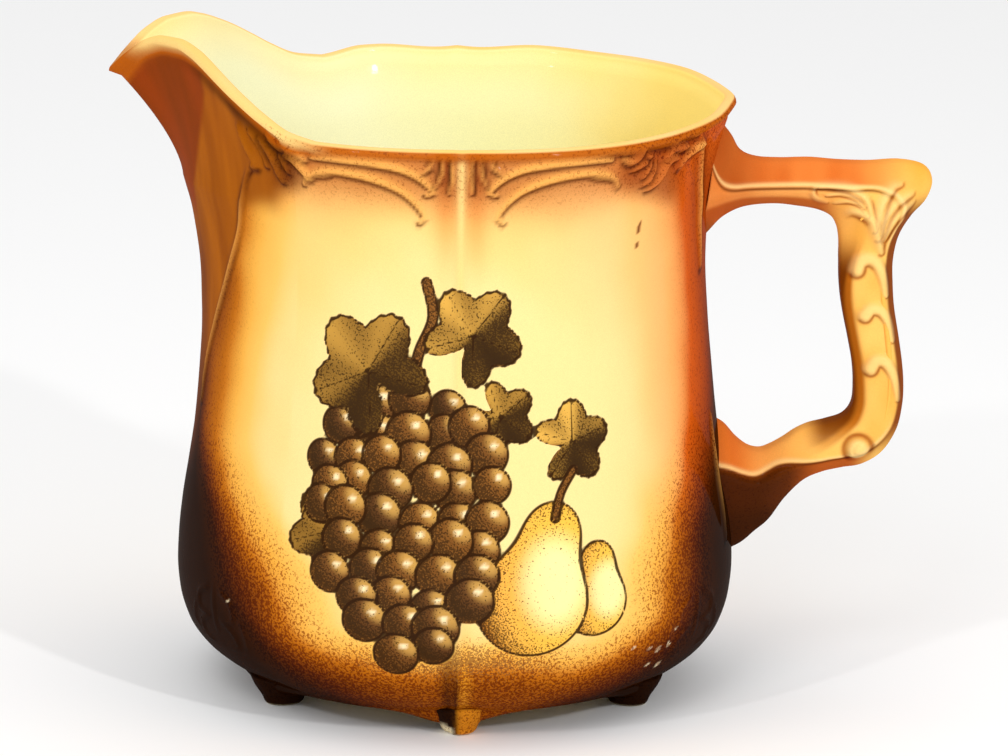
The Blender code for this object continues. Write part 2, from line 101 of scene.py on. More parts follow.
# Handle, as in the part's source: outer edge, inner edge, half depth, shares of its front face
HANDLE_STATIONS = [
    ((74.6, 168.0), (69.3, 131.0), 14.5, 0.40, 0.52),
    ((78.6, 163.0), (72.4, 134.6), 12.4, 0.42, 0.52),
    ((81.4, 158.4), (76.5, 139.0), 10.6, 0.43, 0.53),
    ((86.0, 156.4), (82.5, 142.0), 9.4, 0.44, 0.54),
    ((93.0, 156.0), (91.0, 143.0), 9.0, 0.44, 0.54),
    ((101.6, 156.2), (98.5, 142.3), 8.8, 0.44, 0.56),
    ((109.5, 155.6), (104.0, 141.3), 8.9, 0.42, 0.60),
    ((118.5, 155.4), (107.8, 139.4), 9.2, 0.38, 0.64),
    ((127.5, 155.9), (109.5, 136.6), 9.4, 0.34, 0.66),
    ((134.6, 154.4), (110.2, 133.6), 9.2, 0.30, 0.66),
    ((HANDLE_REACH, 150.3), (110.4, 130.6), 8.8, 0.28, 0.68),
    ((135.6, 145.2), (110.4, 127.8), 8.5, 0.27, 0.70),
    ((131.6, 140.6), (110.5, 125.2), 8.2, 0.26, 0.74),
    ((127.9, 134.4), (110.6, 121.8), 8.0, 0.25, 0.78),
    ((126.3, 127.0), (110.9, 118.0), 8.0, 0.24, 0.80),
    ((126.4, 119.6), (111.4, 114.2), 8.0, 0.23, 0.82),
    ((127.0, 112.6), (112.3, 109.4), 8.0, 0.23, 0.82),
    ((128.4, 104.6), (113.7, 103.0), 8.0, 0.23, 0.82),
    ((129.7, 96.4), (115.1, 95.8), 8.0, 0.23, 0.82),
    ((130.3, 89.8), (115.6, 89.4), 8.0, 0.24, 0.82),
    ((130.1, 83.4), (115.2, 83.6), 8.1, 0.26, 0.82),
    ((128.6, 76.2), (112.6, 79.9), 8.2, 0.30, 0.80),
    ((124.6, 69.4), (107.7, 78.2), 8.4, 0.36, 0.74),
    ((118.9, 65.6), (102.8, 77.0), 8.6, 0.44, 0.66),
    ((112.8, 64.4), (98.8, 75.1), 8.8, 0.50, 0.62),
    ((107.0, 63.0), (95.4, 72.7), 9.0, 0.50, 0.60),
    ((101.6, 60.4), (91.8, 70.6), 9.4, 0.48, 0.58),
    ((96.2, 54.8), (88.6, 69.5), 10.2, 0.42, 0.52),
    ((91.8, 48.4), (85.1, 70.3), 11.2, 0.36, 0.46),
    ((87.6, 44.6), (81.6, 73.0), 12.4, 0.32, 0.42),
    ((83.8, 41.2), (78.0, 77.0), 13.6, 0.30, 0.40),
    ((78.9, 38.6), (73.6, 79.4), 14.6, 0.30, 0.38),
]
HANDLE_EDGE_HALF = 3.4
HANDLE_WITHIN = 0.02
HANDLE_STEPS = 420
HANDLE_ROUND = 150

# Relief of the body: path (angle from the rib, height), lift, width above the crest and below it
SCROLLS = [
    ([(33.0, 168.2), (28.0, 168.6), (20.0, 168.4), (13.5, 167.2), (9.4, 164.8), (7.0, 162.0), (6.2, 160.2),
      (7.6, 159.4)], 1.7, 2.2, 1.0),
    ([(35.8, 159.8), (34.6, 162.0), (31.8, 164.0), (27.0, 164.9), (20.0, 163.9), (14.0, 161.2), (10.4, 157.6),
      (8.2, 153.4), (9.2, 151.2)], 1.6, 2.1, 1.0),
    ([(33.6, 162.2), (31.6, 163.2), (28.6, 163.4)], 1.0, 1.2, 0.8),
]
RIM_FLUTES = [
    ([(2.2, 171.0), (1.9, 165.0), (2.6, 160.0)], 1.1, 0.8, 0.8),
    ([(4.0, 171.0), (4.2, 166.0), (5.6, 162.0)], 1.0, 0.8, 0.8),
    ([(6.0, 171.0), (6.8, 167.8), (8.8, 165.6)], 0.9, 0.8, 0.8),
]
LIP_LEAVES = [
    ([(40.6, 171.4), (38.8, 169.8), (36.4, 169.2), (34.6, 167.4)], 1.8, 1.6, 1.2),
    ([(39.8, 167.6), (37.4, 166.8), (35.4, 164.4), (33.8, 161.6)], 1.9, 1.5, 1.1),
    ([(46.6, 171.0), (44.4, 168.0), (43.0, 164.6), (42.6, 162.0), (41.8, 159.6)], 1.9, 1.5, 1.2),
    ([(41.4, 167.6), (40.4, 165.4), (39.8, 162.6)], 1.3, 1.1, 0.9),
    ([(50.4, 172.6), (47.8, 169.8), (46.4, 166.0), (46.6, 163.0)], 1.5, 1.3, 1.0),
    ([(44.6, 172.6), (42.6, 170.6), (40.2, 168.6)], 1.2, 1.1, 0.9),
    ([(54.2, 173.0), (53.0, 170.0), (51.8, 167.0), (50.6, 164.4), (50.4, 162.4), (52.0, 161.6)],
     1.8, 1.4, 1.2),
]
HANDLE_LEAVES = [
    ([(66.0, 166.2), (62.0, 166.0), (59.0, 165.2), (57.0, 163.8), (56.0, 161.4)], 1.7, 1.4, 1.2),
    ([(57.6, 167.6), (54.6, 167.8), (52.4, 168.4), (50.2, 167.2), (48.8, 165.8)], 1.6, 1.3, 1.1),
    ([(54.0, 164.8), (51.4, 165.2), (49.4, 163.8), (48.6, 161.2), (47.0, 159.0), (44.8, 157.6)],
     2.0, 1.6, 1.2),
    ([(45.8, 165.4), (45.4, 162.4), (44.6, 160.2), (42.8, 159.0)], 1.4, 1.0, 0.8),
    ([(44.4, 165.6), (43.6, 163.2), (42.6, 161.0)], 1.2, 0.9, 0.7),
    ([(43.0, 165.8), (40.6, 165.2), (38.8, 164.2)], 1.4, 1.1, 0.9),
    ([(44.4, 167.4), (42.4, 167.8)], 1.1, 0.9, 0.8),
    ([(42.0, 170.0), (40.4, 168.4), (38.0, 167.0), (36.0, 168.0)], 1.7, 1.3, 1.0),
    ([(63.0, 170.0), (58.4, 170.6), (54.6, 171.4), (50.8, 170.6), (47.0, 170.8), (42.6, 171.4), (39.0, 170.2),
      (33.6, 170.8), (27.0, 171.4)], 1.3, 1.3, 1.1),
]
LIP_CREASES = [
    ([(51.4, 162.0), (54.4, 159.6), (56.8, 155.0), (59.0, 148.0), (62.0, 139.0), (69.0, 124.0), (77.6, 101.0),
      (79.6, 86.0)], 1.0, 1.3, 1.2),
]
HANDLE_CREASES = [
    ([(64.6, 168.4), (68.4, 158.0), (72.6, 144.0), (76.6, 128.0)], 1.1, 1.3, 2.6),
    ([(77.0, 84.0), (76.4, 66.0), (77.6, 47.0)], 0.9, 1.2, 2.0),
]
FOOT_CURLS = [
    ([(60.0, 37.0), (60.2, 31.0), (60.0, 24.0)], 0.7, 1.5, 1.5),
    ([(57.6, 36.6), (53.4, 33.6), (53.0, 29.2), (56.4, 28.4)], 1.2, 1.3, 1.1),
    ([(62.4, 36.6), (66.6, 33.6), (67.0, 29.2), (63.6, 28.4)], 1.2, 1.3, 1.1),
    ([(58.0, 28.0), (53.6, 25.4), (52.6, 21.0), (56.2, 19.8)], 1.2, 1.3, 1.1),
    ([(62.0, 28.0), (66.4, 25.4), (67.4, 21.0), (63.8, 19.8)], 1.2, 1.3, 1.1),
    ([(50.6, 30.0), (49.0, 25.0), (49.8, 20.0)], 0.9, 1.1, 1.0),
    ([(69.4, 30.0), (71.0, 25.0), (70.2, 20.0)], 0.9, 1.1, 1.0),
]

# Relief of the handle: path (x, z), lift, half width
HANDLE_LEAF = [
    ([(102.8, 149.3), (107.2, 149.7), (113.0, 148.8), (117.4, 145.9), (119.1, 141.7), (120.2, 136.7)],
     1.3, 1.3),
    ([(106.2, 146.9), (110.1, 147.6), (114.5, 146.4), (117.1, 143.7)], 1.0, 1.0),
    ([(108.4, 144.4), (112.4, 145.3), (116.0, 144.2), (118.1, 141.1)], 0.9, 0.9),
    ([(102.8, 149.3), (102.3, 147.2), (104.0, 144.7), (106.2, 144.3)], 1.0, 1.0),
    ([(111.2, 140.4), (113.5, 142.0), (116.8, 141.4), (119.5, 139.3), (121.2, 135.0), (122.3, 130.0)],
     1.6, 1.7),
    ([(121.2, 134.4), (121.4, 139.6), (122.4, 144.8), (125.0, 149.2), (127.5, 150.2)], 1.5, 1.7),
    ([(122.1, 134.5), (123.4, 140.4), (126.6, 144.9), (130.9, 147.4)], 1.4, 1.6),
    ([(122.8, 133.7), (125.2, 138.9), (128.4, 142.5), (131.2, 144.9)], 1.2, 1.4),
]
HANDLE_CURLS = [
    ([(115.3, 124.9), (116.4, 127.3), (119.0, 128.0), (121.6, 126.0), (123.3, 121.8), (124.1, 117.3)],
     1.6, 1.9),
    ([(118.1, 111.2), (119.9, 113.1), (122.4, 112.7), (124.4, 110.4), (125.9, 107.1), (126.4, 103.8)],
     1.5, 1.6),
    ([(120.1, 95.4), (121.7, 97.7), (124.2, 97.4), (126.4, 94.5), (127.7, 90.5), (128.6, 86.1)],
     1.5, 1.7),
]
VINE_PATHS = [
    [(121.6, 128.0), (122.6, 121.0), (123.8, 112.0), (125.0, 103.0), (125.8, 94.0), (125.6, 86.0),
     (124.2, 79.0)],
    [(116.0, 139.8), (118.4, 141.6), (121.0, 138.6), (121.8, 133.0)],
]
VINE_RADIUS = 0.85
VINE_SUNK = 0.35
VINE_STEP = 0.6
VINE_ROUND = 12
BUTTON_AT = (117.0, 71.4)
BUTTON_RADIUS = 3.7

# Spacing of the columns round the body, in degrees, and rows up its wall: first, end, step
PRINT_HALF_ANGLE = 39.0
PRINT_COLUMN = 0.6
SIDE_COLUMN = 2.0
LOW_COLUMN = 1.0
RELIEF_COLUMN = 0.7
INNER_COLUMN = 3.0
LOW_ROWS = (8.8, 21.9, 0.8)
MIXED_ROWS = (22.4, 38.1, 0.75)
PRINT_ROWS = (38.8, 147.2, 0.85)
NECK_ROWS = (147.6, 148.8)

# Glaze colours
CREAM = (0.89, 0.665, 0.275)
GOLDEN = (0.92, 0.52, 0.115)
HONEY = (0.78, 0.315, 0.018)
AMBER = (0.56, 0.165, 0.006)
CARAMEL = (0.31, 0.075, 0.0025)
BROWN = (0.135, 0.026, 0.0015)
DARK_BROWN = (0.044, 0.0095, 0.001)
TERRACOTTA = (0.60, 0.092, 0.005)
RED_BROWN = (0.27, 0.038, 0.003)
ROSE = (0.88, 0.31, 0.065)
PEACH = (0.93, 0.49, 0.19)
RIM_AMBER = (0.90, 0.43, 0.125)
INSIDE_CREAM = (0.85, 0.84, 0.47)
INSIDE_PALE = (0.87, 0.88, 0.60)
INSIDE_GOLD = (0.94, 0.69, 0.19)
NEAR_BLACK = (0.016, 0.004, 0.0006)
BARE_CLAY = (0.80, 0.69, 0.45)
RUST = (0.46, 0.100, 0.010)
LIP_TIP_BROWN = (0.16, 0.022, 0.002)
HANDLE_ORANGE = (0.97, 0.40, 0.10)
BROWN_SPRAY = [
    (0.0, CREAM), (0.10, GOLDEN), (0.26, HONEY), (0.42, AMBER), (0.60, CARAMEL), (0.74, BROWN),
    (0.87, DARK_BROWN), (1.0, NEAR_BLACK),
]
RED_SPRAY = [
    (0.0, CREAM), (0.10, PEACH), (0.24, ROSE), (0.46, TERRACOTTA), (0.74, RED_BROWN), (0.94, DARK_BROWN),
]
DROP_TINT = (0.36, 0.19, 0.12)
SPECK_BROWN = (0.05, 0.018, 0.006, 1.0)
GLOSS = {"Roughness": 0.3, "Specular IOR Level": 0.0, "Coat Weight": 0.06, "Coat Roughness": 0.07}
# How much of each colour the shade painted below the relief and in its hollows keeps, on the body and on the
# handle
BODY_RELIEF_SHADE = np.array([0.20, 0.11, 0.07])
HANDLE_RELIEF_SHADE = np.array([0.42, 0.20, 0.08])

# Print colours
UMBER = (0.018, 0.007, 0.0016)
SEPIA = (0.22, 0.080, 0.014)
GRAPE_VIOLET = (0.13, 0.046, 0.015)
GRAPE_BLOOM = (0.78, 0.44, 0.10)
PEAR_GOLD = (0.90, 0.48, 0.06)
PEAR_LIGHT = (0.97, 0.80, 0.34)
PEAR_SHADE = (0.30, 0.090, 0.008)
LEAF_BROWN = (0.20, 0.078, 0.008)
LEAF_LIGHT = (0.86, 0.48, 0.085)
GRAPE_SPOT = (0.97, 0.80, 0.48)
PEAR_BLUSH = (0.78, 0.27, 0.06)
INK = (0.030, 0.011, 0.003, 1.0)
CAST_INK = (0.20, 0.075, 0.02, 1.0)

# Light: the white room's strength, how much less mirrored rays see of it, how much more the camera sees;
# lamps as name, place, aim, width, height, watts
ROOM_LIGHT, MIRRORED_LESS, SEEN_MORE = 0.86, 0.51, 0.10
BODY_MIDDLE = (0.0, 0.0, 0.09)
LAMPS = [
    ("soft front lamp", (-0.6, -1.5, 1.5), BODY_MIDDLE, 0.8, 0.8, 8.0),
    ("right window", (0.75, -1.05, 0.75), BODY_MIDDLE, 0.05, 0.12, 5.6),
    ("left window", (-0.9, -1.0, 0.9), BODY_MIDDLE, 0.05, 0.10, 3.0),
    ("broad top lamp", (0.0, 0.6, 2.6), (0.0, 0.6, 0.0), 3.2, 3.2, 9.0),
]

# Camera, in the photograph's view
CAMERA_DISTANCE = 1800.0
CAMERA_HEIGHT = 524.7
CAMERA_AIM = (13.8, 89.9)
CAMERA_AZIMUTH = -1.05
CAMERA_ROLL = 0.7
FOCAL_PIXELS = 6350.8
PHOTO_WIDTH = 1008
SENSOR = 36.0


def smooth_at(table, x):
    """A smooth curve through the table's points that doesn't overshoot them."""
    xs = np.array([p[0] for p in table], float)
    ys = np.array([p[1] for p in table], float)
    x = np.clip(np.asarray(x, float), xs[0], xs[-1])
    steps = np.diff(ys) / np.diff(xs)
    slopes = np.empty(len(xs))
    slopes[0], slopes[-1] = steps[0], steps[-1]
    a, b = steps[:-1], steps[1:]
    slopes[1:-1] = np.where(a * b <= 0, 0.0, 2 * a * b / np.where(a * b <= 0, 1.0, a + b))
    k = np.clip(np.searchsorted(xs, x, side="right") - 1, 0, len(xs) - 2)
    width = xs[k + 1] - xs[k]
    t = (x - xs[k]) / width
    rise = width * (slopes[k] * (t**3 - 2 * t * t + t) + slopes[k + 1] * (t**3 - t * t))
    return ys[k] + (ys[k + 1] - ys[k]) * (3 * t * t - 2 * t**3) + rise


def ease(low, high, x):
    """0 at low, 1 at high, smooth between; low may be the larger."""
    t = np.clip((np.asarray(x, float) - low) / (high - low), 0, 1)
    return t * t * (3 - 2 * t)


def turn_from(angle, other):
    """The smaller turn between two angles, in degrees."""
    return np.abs((angle - other + 180.0) % 360.0 - 180.0)


def rim_height(angle):
    """The rim rises over the lip and waves a little at the back."""
    from_lip = turn_from(angle, 270.0)
    wave = smooth_at(BACK_RIM_WAVE, turn_from(angle, 180.0)) * (from_lip > LIP_SPREAD)
    return smooth_at(LIP_RIM_HEIGHT, from_lip) + wave * ease(LIP_SPREAD, LIP_SPREAD + 10.0, from_lip)


def panel_swell(angle, height):
    """Six shallow panels, with their edges over the feet."""
    from_foot = (angle + 30.0) % 60.0 - 30.0
    share = smooth_at([(8.0, 0.4), (60.0, 0.7), (RIM_HEIGHT, 1.0)], height)
    return -PANEL_SWELL * share * np.cos(np.radians(3 * from_foot)) ** 2


def lip_stand(angle):
    """How far the rim stands out: the beak, the shoulders beside it, and the nib over the handle."""
    from_lip = turn_from(angle, 270.0)
    beak = np.maximum(0.0, 1 - from_lip / LIP_SPREAD) ** LIP_SHARPNESS
    shoulder = np.exp(-(((from_lip - LIP_SHOULDER_ANGLE) / LIP_SHOULDER_HALF) ** 2))
    nib = np.exp(-((turn_from(angle, 90.0) / NIB_HALF) ** 2))
    return LIP_STAND * beak + LIP_SHOULDER * shoulder + NIB_STAND * nib


def plain_radius(angle, height):
    """The wall without its ribs and relief: outline, keel under the lip, flare to the rim, panels."""
    from_lip = turn_from(angle, 270.0)
    low = np.minimum(height, SHOULDER_HEIGHT)
    keel = np.maximum(0.0, 1 - from_lip / smooth_at(KEEL_HALF, low)) ** KEEL_SHARPNESS
    radius = smooth_at(BODY_OUTLINE, low) + smooth_at(KEEL_STAND, low) * keel
    share = np.clip((height - SHOULDER_HEIGHT) / (rim_height(angle) - SHOULDER_HEIGHT), 0, 1)
    radius = radius + (RIM_RADIUS + lip_stand(angle) - radius) * share**FLARE_POWER
    return radius + panel_swell(angle, height)


def rib(angle):
    """The raised line at the front and the back, with a dip on both sides."""
    across = np.radians(np.minimum(turn_from(angle, 0.0), turn_from(angle, 180.0))) * ROUND_RADIUS
    ridge = RIB_HEIGHT * np.exp(-((across / RIB_HALF) ** 2))
    return ridge - RIB_DIP * np.exp(-((across / RIB_DIP_HALF) ** 2))


def run_along(points):
    """Distance from the first point to each, along them."""
    return np.concatenate([[0], np.cumsum(np.linalg.norm(np.diff(points, axis=0), axis=1))])


def curve_through(run, padded, count):
    """Evenly spaced spots on a smooth curve; the rows have one more at either end."""
    s = np.linspace(0, run[-1], count)
    i = np.clip(np.searchsorted(run, s, side="right") - 1, 0, len(run) - 2)
    t = ((s - run[i]) / (run[i + 1] - run[i]))[:, None]
    p0, p1, p2, p3 = padded[i], padded[i + 1], padded[i + 2], padded[i + 3]
    bend = (2 * p0 - 5 * p1 + 4 * p2 - p3) * t * t + (3 * p1 - p0 - 3 * p2 + p3) * t**3
    return p1 + 0.5 * ((p2 - p0) * t + bend)


def smooth_path(path, count):
    """Points along a smooth curve through the path's points."""
    path = np.array(path, float)
    return curve_through(run_along(path), np.vstack([path[0], path, path[-1]]), count)


def nearest_on(points, u, v):
    """Distance to a polyline, how far the spot lies below and outside it, and the share along it."""
    best = np.full(u.shape, 1e9)
    below = np.zeros(u.shape)
    along = np.zeros(u.shape)
    for k in range(len(points) - 1):
        a, b = points[k], points[k + 1]
        d = b - a
        t = np.clip(((u - a[0]) * d[0] + (v - a[1]) * d[1]) / (d @ d), 0, 1)
        du, dv = u - a[0] - t * d[0], v - a[1] - t * d[1]
        gap = np.hypot(du, dv)
        closer = gap < best
        best = np.where(closer, gap, best)
        below = np.where(closer, (0.5 * du - 0.86 * dv) / np.maximum(gap, 1e-6), below)
        along = np.where(closer, (k + t) / (len(points) - 1), along)
    return best, ease(-0.35, 0.35, below), along


def taper(along):
    """A stroke is full in its middle and thin at its ends."""
    return 0.3 + 0.7 * np.sin(np.pi * (0.10 + 0.82 * along)) ** 0.7


def stroke_relief(stroke, u, v, bold):
    """Lift of one stroke, falling softly above its crest and steeply below, and the shade painted below it.
    """
    path, *sizes = stroke
    lift, above, below = np.array(sizes) * bold
    points = smooth_path([(math.radians(a) * ROUND_RADIUS, h) for a, h in path], 5 * len(path))
    low, high = points.min(0) - 6, points.max(0) + 6
    near = (u > low[0]) & (u < high[0]) & (v > low[1]) & (v < high[1])
    out = np.zeros(u.shape)
    dark = np.zeros(u.shape)
    if not near.any():
        return out, dark
    gap, under, along = nearest_on(points, u[near], v[near])
    gap = gap / taper(along)
    fall = above + (below - above) * under
    out[near] = lift * taper(along) * np.exp(-((gap / fall) ** 2))
    # The shade painted on the lower side of the crest
    dark[near] = under * np.exp(-(((gap - 1.25 * below) / (0.88 * below)) ** 2))
    return out, dark


def body_relief(angle, height):
    """Lift of all the cast relief on the outside, and how much shade is painted below it."""
    turn = (angle + 180.0) % 360.0 - 180.0
    back = np.abs(turn) > 90.0
    from_rib = np.where(back, 180.0 - np.abs(turn), np.abs(turn))
    lip_side = turn < 0
    u = np.radians(from_rib) * ROUND_RADIUS
    lift = np.zeros(u.shape)
    relief_shade = np.zeros(u.shape)

    def add(strokes, where, shade_share=1.0, bold=1.0):
        nonlocal lift, relief_shade
        for stroke in strokes:
            out, dark = stroke_relief(stroke, u, height, bold)
            lift = np.where(where, np.maximum(lift, out), lift)
            relief_shade = np.where(where, np.maximum(relief_shade, shade_share * dark), relief_shade)

    everywhere = np.ones(u.shape, bool)
    add(SCROLLS + RIM_FLUTES, everywhere)
    add(FOOT_CURLS, everywhere, CURL_SHADE, CURL_BOLD)
    add(LIP_LEAVES, lip_side, 1.0, LEAF_BOLD)
    add(LIP_CREASES, lip_side)
    add(HANDLE_LEAVES, ~lip_side, 1.0, LEAF_BOLD)
    add(HANDLE_CREASES, ~lip_side)
    return lift, relief_shade


def hand_wobble(angle, height):
    """The slight unevenness that casting and firing leave."""
    a = np.radians(angle)
    return 0.12 * np.sin(3 * a + 1.3) * np.sin(height / 31.0) + 0.08 * np.sin(7 * a + height / 17.0)


def outer_radius(angle, height):
    """The wall's outside with all its relief."""
    height = np.full(angle.shape, height)
    lift = body_relief(angle, height)[0]
    return plain_radius(angle, height) + rib(angle) + lift + hand_wobble(angle, height) - WITHIN


def columns(fine, coarse):
    """Angles round the body, fine over the printed front and coarse elsewhere."""
    front = np.arange(-PRINT_HALF_ANGLE, PRINT_HALF_ANGLE + 1e-6, fine)
    side = np.concatenate([np.arange(40.0, 48.0), np.arange(48.0, 80.0, 0.66), np.arange(80.0, 141.0)])
    rest = np.concatenate([side, np.arange(141.0, 219.1, coarse), 360.0 - side])
    rib_lines = 180.0 + np.array([-3.0, -2.2, -1.5, -0.8, 0.0, 0.8, 1.5, 2.2, 3.0])
    return np.unique(np.round(np.concatenate([front, rest, rib_lines]), 3))


def even(step):
    """Angles spaced evenly all round."""
    return np.arange(-PRINT_HALF_ANGLE, 360 - PRINT_HALF_ANGLE - 1e-6, step)


def body_rings():
    """Rows of the body from the middle of the underside, up outside, over the rim, down inside."""
    relief, printed = even(RELIEF_COLUMN), columns(PRINT_COLUMN, SIDE_COLUMN)
    low, inner = even(LOW_COLUMN), even(INNER_COLUMN)
    mixed = columns(PRINT_COLUMN, LOW_COLUMN)
    rings = []

    def add(kind, angles, radius, height):
        full = np.broadcast_to
        rings.append((kind, angles, full(radius, angles.shape), full(height, angles.shape)))

    for radius in (12.0, 30.0, RECESS_RADIUS - 0.6):
        add("under", inner, radius, RECESS_HEIGHT)
    add("under", low, RECESS_RADIUS + 0.2, RECESS_HEIGHT - 0.5)
    add("under", low, RECESS_RADIUS + 1.2, FOOT_RING_HEIGHT + 0.2)
    from_foot = turn_from((low + 30.0) % 60.0, 30.0)
    base = BASE_ARCH - BASE_DIP * np.exp(-((from_foot / BASE_DIP_HALF) ** 2))
    add("under", low, RECESS_RADIUS + 2.4, FOOT_RING_HEIGHT)
    add("under", low, FOOT_RING_RADIUS, FOOT_RING_HEIGHT)
    for t in (0.55, 0.85):
        radius = FOOT_RING_RADIUS + t * (BASE_RADIUS - FOOT_RING_RADIUS)
        add("under", low, radius, FOOT_RING_HEIGHT + t * t * (base - FOOT_RING_HEIGHT))
    swell = outer_radius(low, WALL_FOOT) - BASE_RADIUS
    for t in np.linspace(0.0, 1.0, 5):
        radius = BASE_RADIUS + swell * np.sin(t * math.pi / 2) ** 0.8
        add("side", low, radius, base + (WALL_FOOT - base) * t)
    for angles, heights in (
        (low, np.arange(*LOW_ROWS)), (mixed, np.arange(*MIXED_ROWS)), (printed, np.arange(*PRINT_ROWS)),
        (relief, NECK_ROWS),
    ):
        for height in heights:
            add("side", angles, outer_radius(angles, height), height)
    rim = rim_height(relief)
    neck = rim - BEAD_DEPTH * 1.6
    for share in np.linspace(0.0, 1.0, 30):
        height = SHOULDER_HEIGHT + share * (neck - SHOULDER_HEIGHT)
        tuck = BEAD_STEP * ease(0.86, 1.0, share) * ease(4.0, 12.0, turn_from(relief, 270.0))
        add("side", relief, outer_radius(relief, height) - tuck, height)
    edge = plain_radius(relief, rim) + 0.3 * rib(relief)
    half = RIM_WALL / 2
    for turn in np.linspace(180.0, 0.0, 11):
        a = math.radians(turn)
        kind = "side" if turn > 130.0 else "bead" if turn > 40.0 else "inside"
        add(kind, relief, edge - half - half * math.cos(a), rim - BEAD_DEPTH * (1 - math.sin(a)))
    for share in np.linspace(0.88, 0.0, 9):
        height = SHOULDER_HEIGHT + share * (rim_height(inner) - SHOULDER_HEIGHT)
        wall = WALL + (RIM_WALL - WALL) * share
        add("inside", inner, plain_radius(inner, height) - wall, height)
    for height in np.linspace(144.0, 26.0, 20):
        add("inside", inner, plain_radius(inner, np.full(inner.shape, height)) - WALL, height)
    for height, radius in INSIDE_CORNER:
        add("inside", inner, radius, height)
    for radius in (28.0, 10.0):
        add("inside", inner, radius, FLOOR_TOP)
    return rings


def ring_quads(low, high, count, flipped=False):
    """Faces between two rings of as many points each, by the index that each ring starts at."""
    c = np.arange(count)
    d = (c + 1) % count
    corners = [low + c, high + c, high + d, low + d] if flipped else [low + c, low + d, high + d, high + c]
    return np.column_stack(corners).tolist()


def zip_rings(first, second, start, next_start):
    """Triangles between two rings of points that may hold different angles."""
    a, b = np.append(first, first[0] + 360.0), np.append(second, second[0] + 360.0)
    i = j = 0
    faces = []
    while i < len(a) - 1 or j < len(b) - 1:
        low, high = start + i % len(first), next_start + j % len(second)
        if j == len(b) - 1 or (i < len(a) - 1 and a[i + 1] <= b[j + 1]):
            faces.append((low, start + (i + 1) % len(first), high))
            i += 1
        else:
            faces.append((low, next_start + (j + 1) % len(second), high))
            j += 1
    return faces


def make_body():
    """Joins the rings into one closed shell and paints it."""
    rings = body_rings()
    starts = np.concatenate([[0], np.cumsum([len(r[1]) for r in rings])])
    angle = np.concatenate([r[1] for r in rings])
    radius = np.concatenate([r[2] for r in rings])
    height = np.concatenate([r[3] for r in rings])
    kind = np.concatenate([[r[0]] * len(r[1]) for r in rings])
    points = np.column_stack([
        AXIS_X + radius * np.sin(np.radians(angle)), -radius * np.cos(np.radians(angle)), height,
    ])
    faces = []
    for k in range(len(rings) - 1):
        first, second = rings[k][1], rings[k + 1][1]
        if len(first) == len(second):
            faces += ring_quads(starts[k], starts[k + 1], len(first))
        else:
            faces += zip_rings(first, second, starts[k], starts[k + 1])
    bottom, floor = len(points), len(points) + 1
    points = np.vstack([points, [AXIS_X, 0, RECESS_HEIGHT], [AXIS_X, 0, FLOOR_TOP]])
    n, m = len(rings[0][1]), len(rings[-1][1])
    faces += [((c + 1) % n, c, bottom) for c in range(n)]
    faces += [(starts[-2] + c, starts[-2] + (c + 1) % m, floor) for c in range(m)]
    body = mesh_object("body", points, faces)
    angle, height = np.append(angle, [0, 0]), np.append(height, [RECESS_HEIGHT, FLOOR_TOP])
    kind = np.append(kind, ["under", "inside"])
    paint_body(body.data, angle, height, kind, points)
    return body


def mesh_object(name, points, faces):
    """A smooth-shaded mesh, in metres, from points in millimetres."""
    mesh = bpy.data.meshes.new(name)
    mesh.from_pydata((np.asarray(points) * MM).tolist(), [], faces)
    mesh.validate()
    mesh.shade_smooth()
    made = bpy.data.objects.new(name, mesh)
    bpy.context.scene.collection.objects.link(made)
    return made


def set_colour(mesh, name, rgb):
    """Keeps one colour a point under the name."""
    data = mesh.attributes.new(name, "FLOAT_COLOR", "POINT")
    full = np.ones((len(mesh.vertices), 4), np.float32)
    full[:, :3] = rgb
    data.data.foreach_set("color", full.ravel())


def set_number(mesh, name, values):
    """Keeps one number a point under the name."""
    data = mesh.attributes.new(name, "FLOAT", "POINT")
    data.data.foreach_set("value", np.asarray(values, np.float32))


def mix(a, b, t):
    """Colour a where t is 0, colour b where it is 1."""
    t = np.asarray(t)[..., None]
    return np.asarray(a) * (1 - t) + np.asarray(b) * t


def ramp(stops, x):
    """Colours between named stops."""
    xs = [s[0] for s in stops]
    return np.column_stack([np.interp(x, xs, [s[1][c] for s in stops]) for c in range(3)])


def cloud(u, v, size, seed):
    """Soft uneven noise, as a hand-held sprayer leaves."""
    rng = np.random.default_rng(seed)
    out = np.zeros(np.shape(u))
    for octave in range(4):
        for _ in range(3):
            turn, shift = rng.uniform(0, 2 * math.pi, 2)
            k = 2 * math.pi / size * (1.7**octave)
            out += np.sin(k * (u * math.cos(turn) + v * math.sin(turn)) + shift) / 1.6**octave
    return out / 4.0


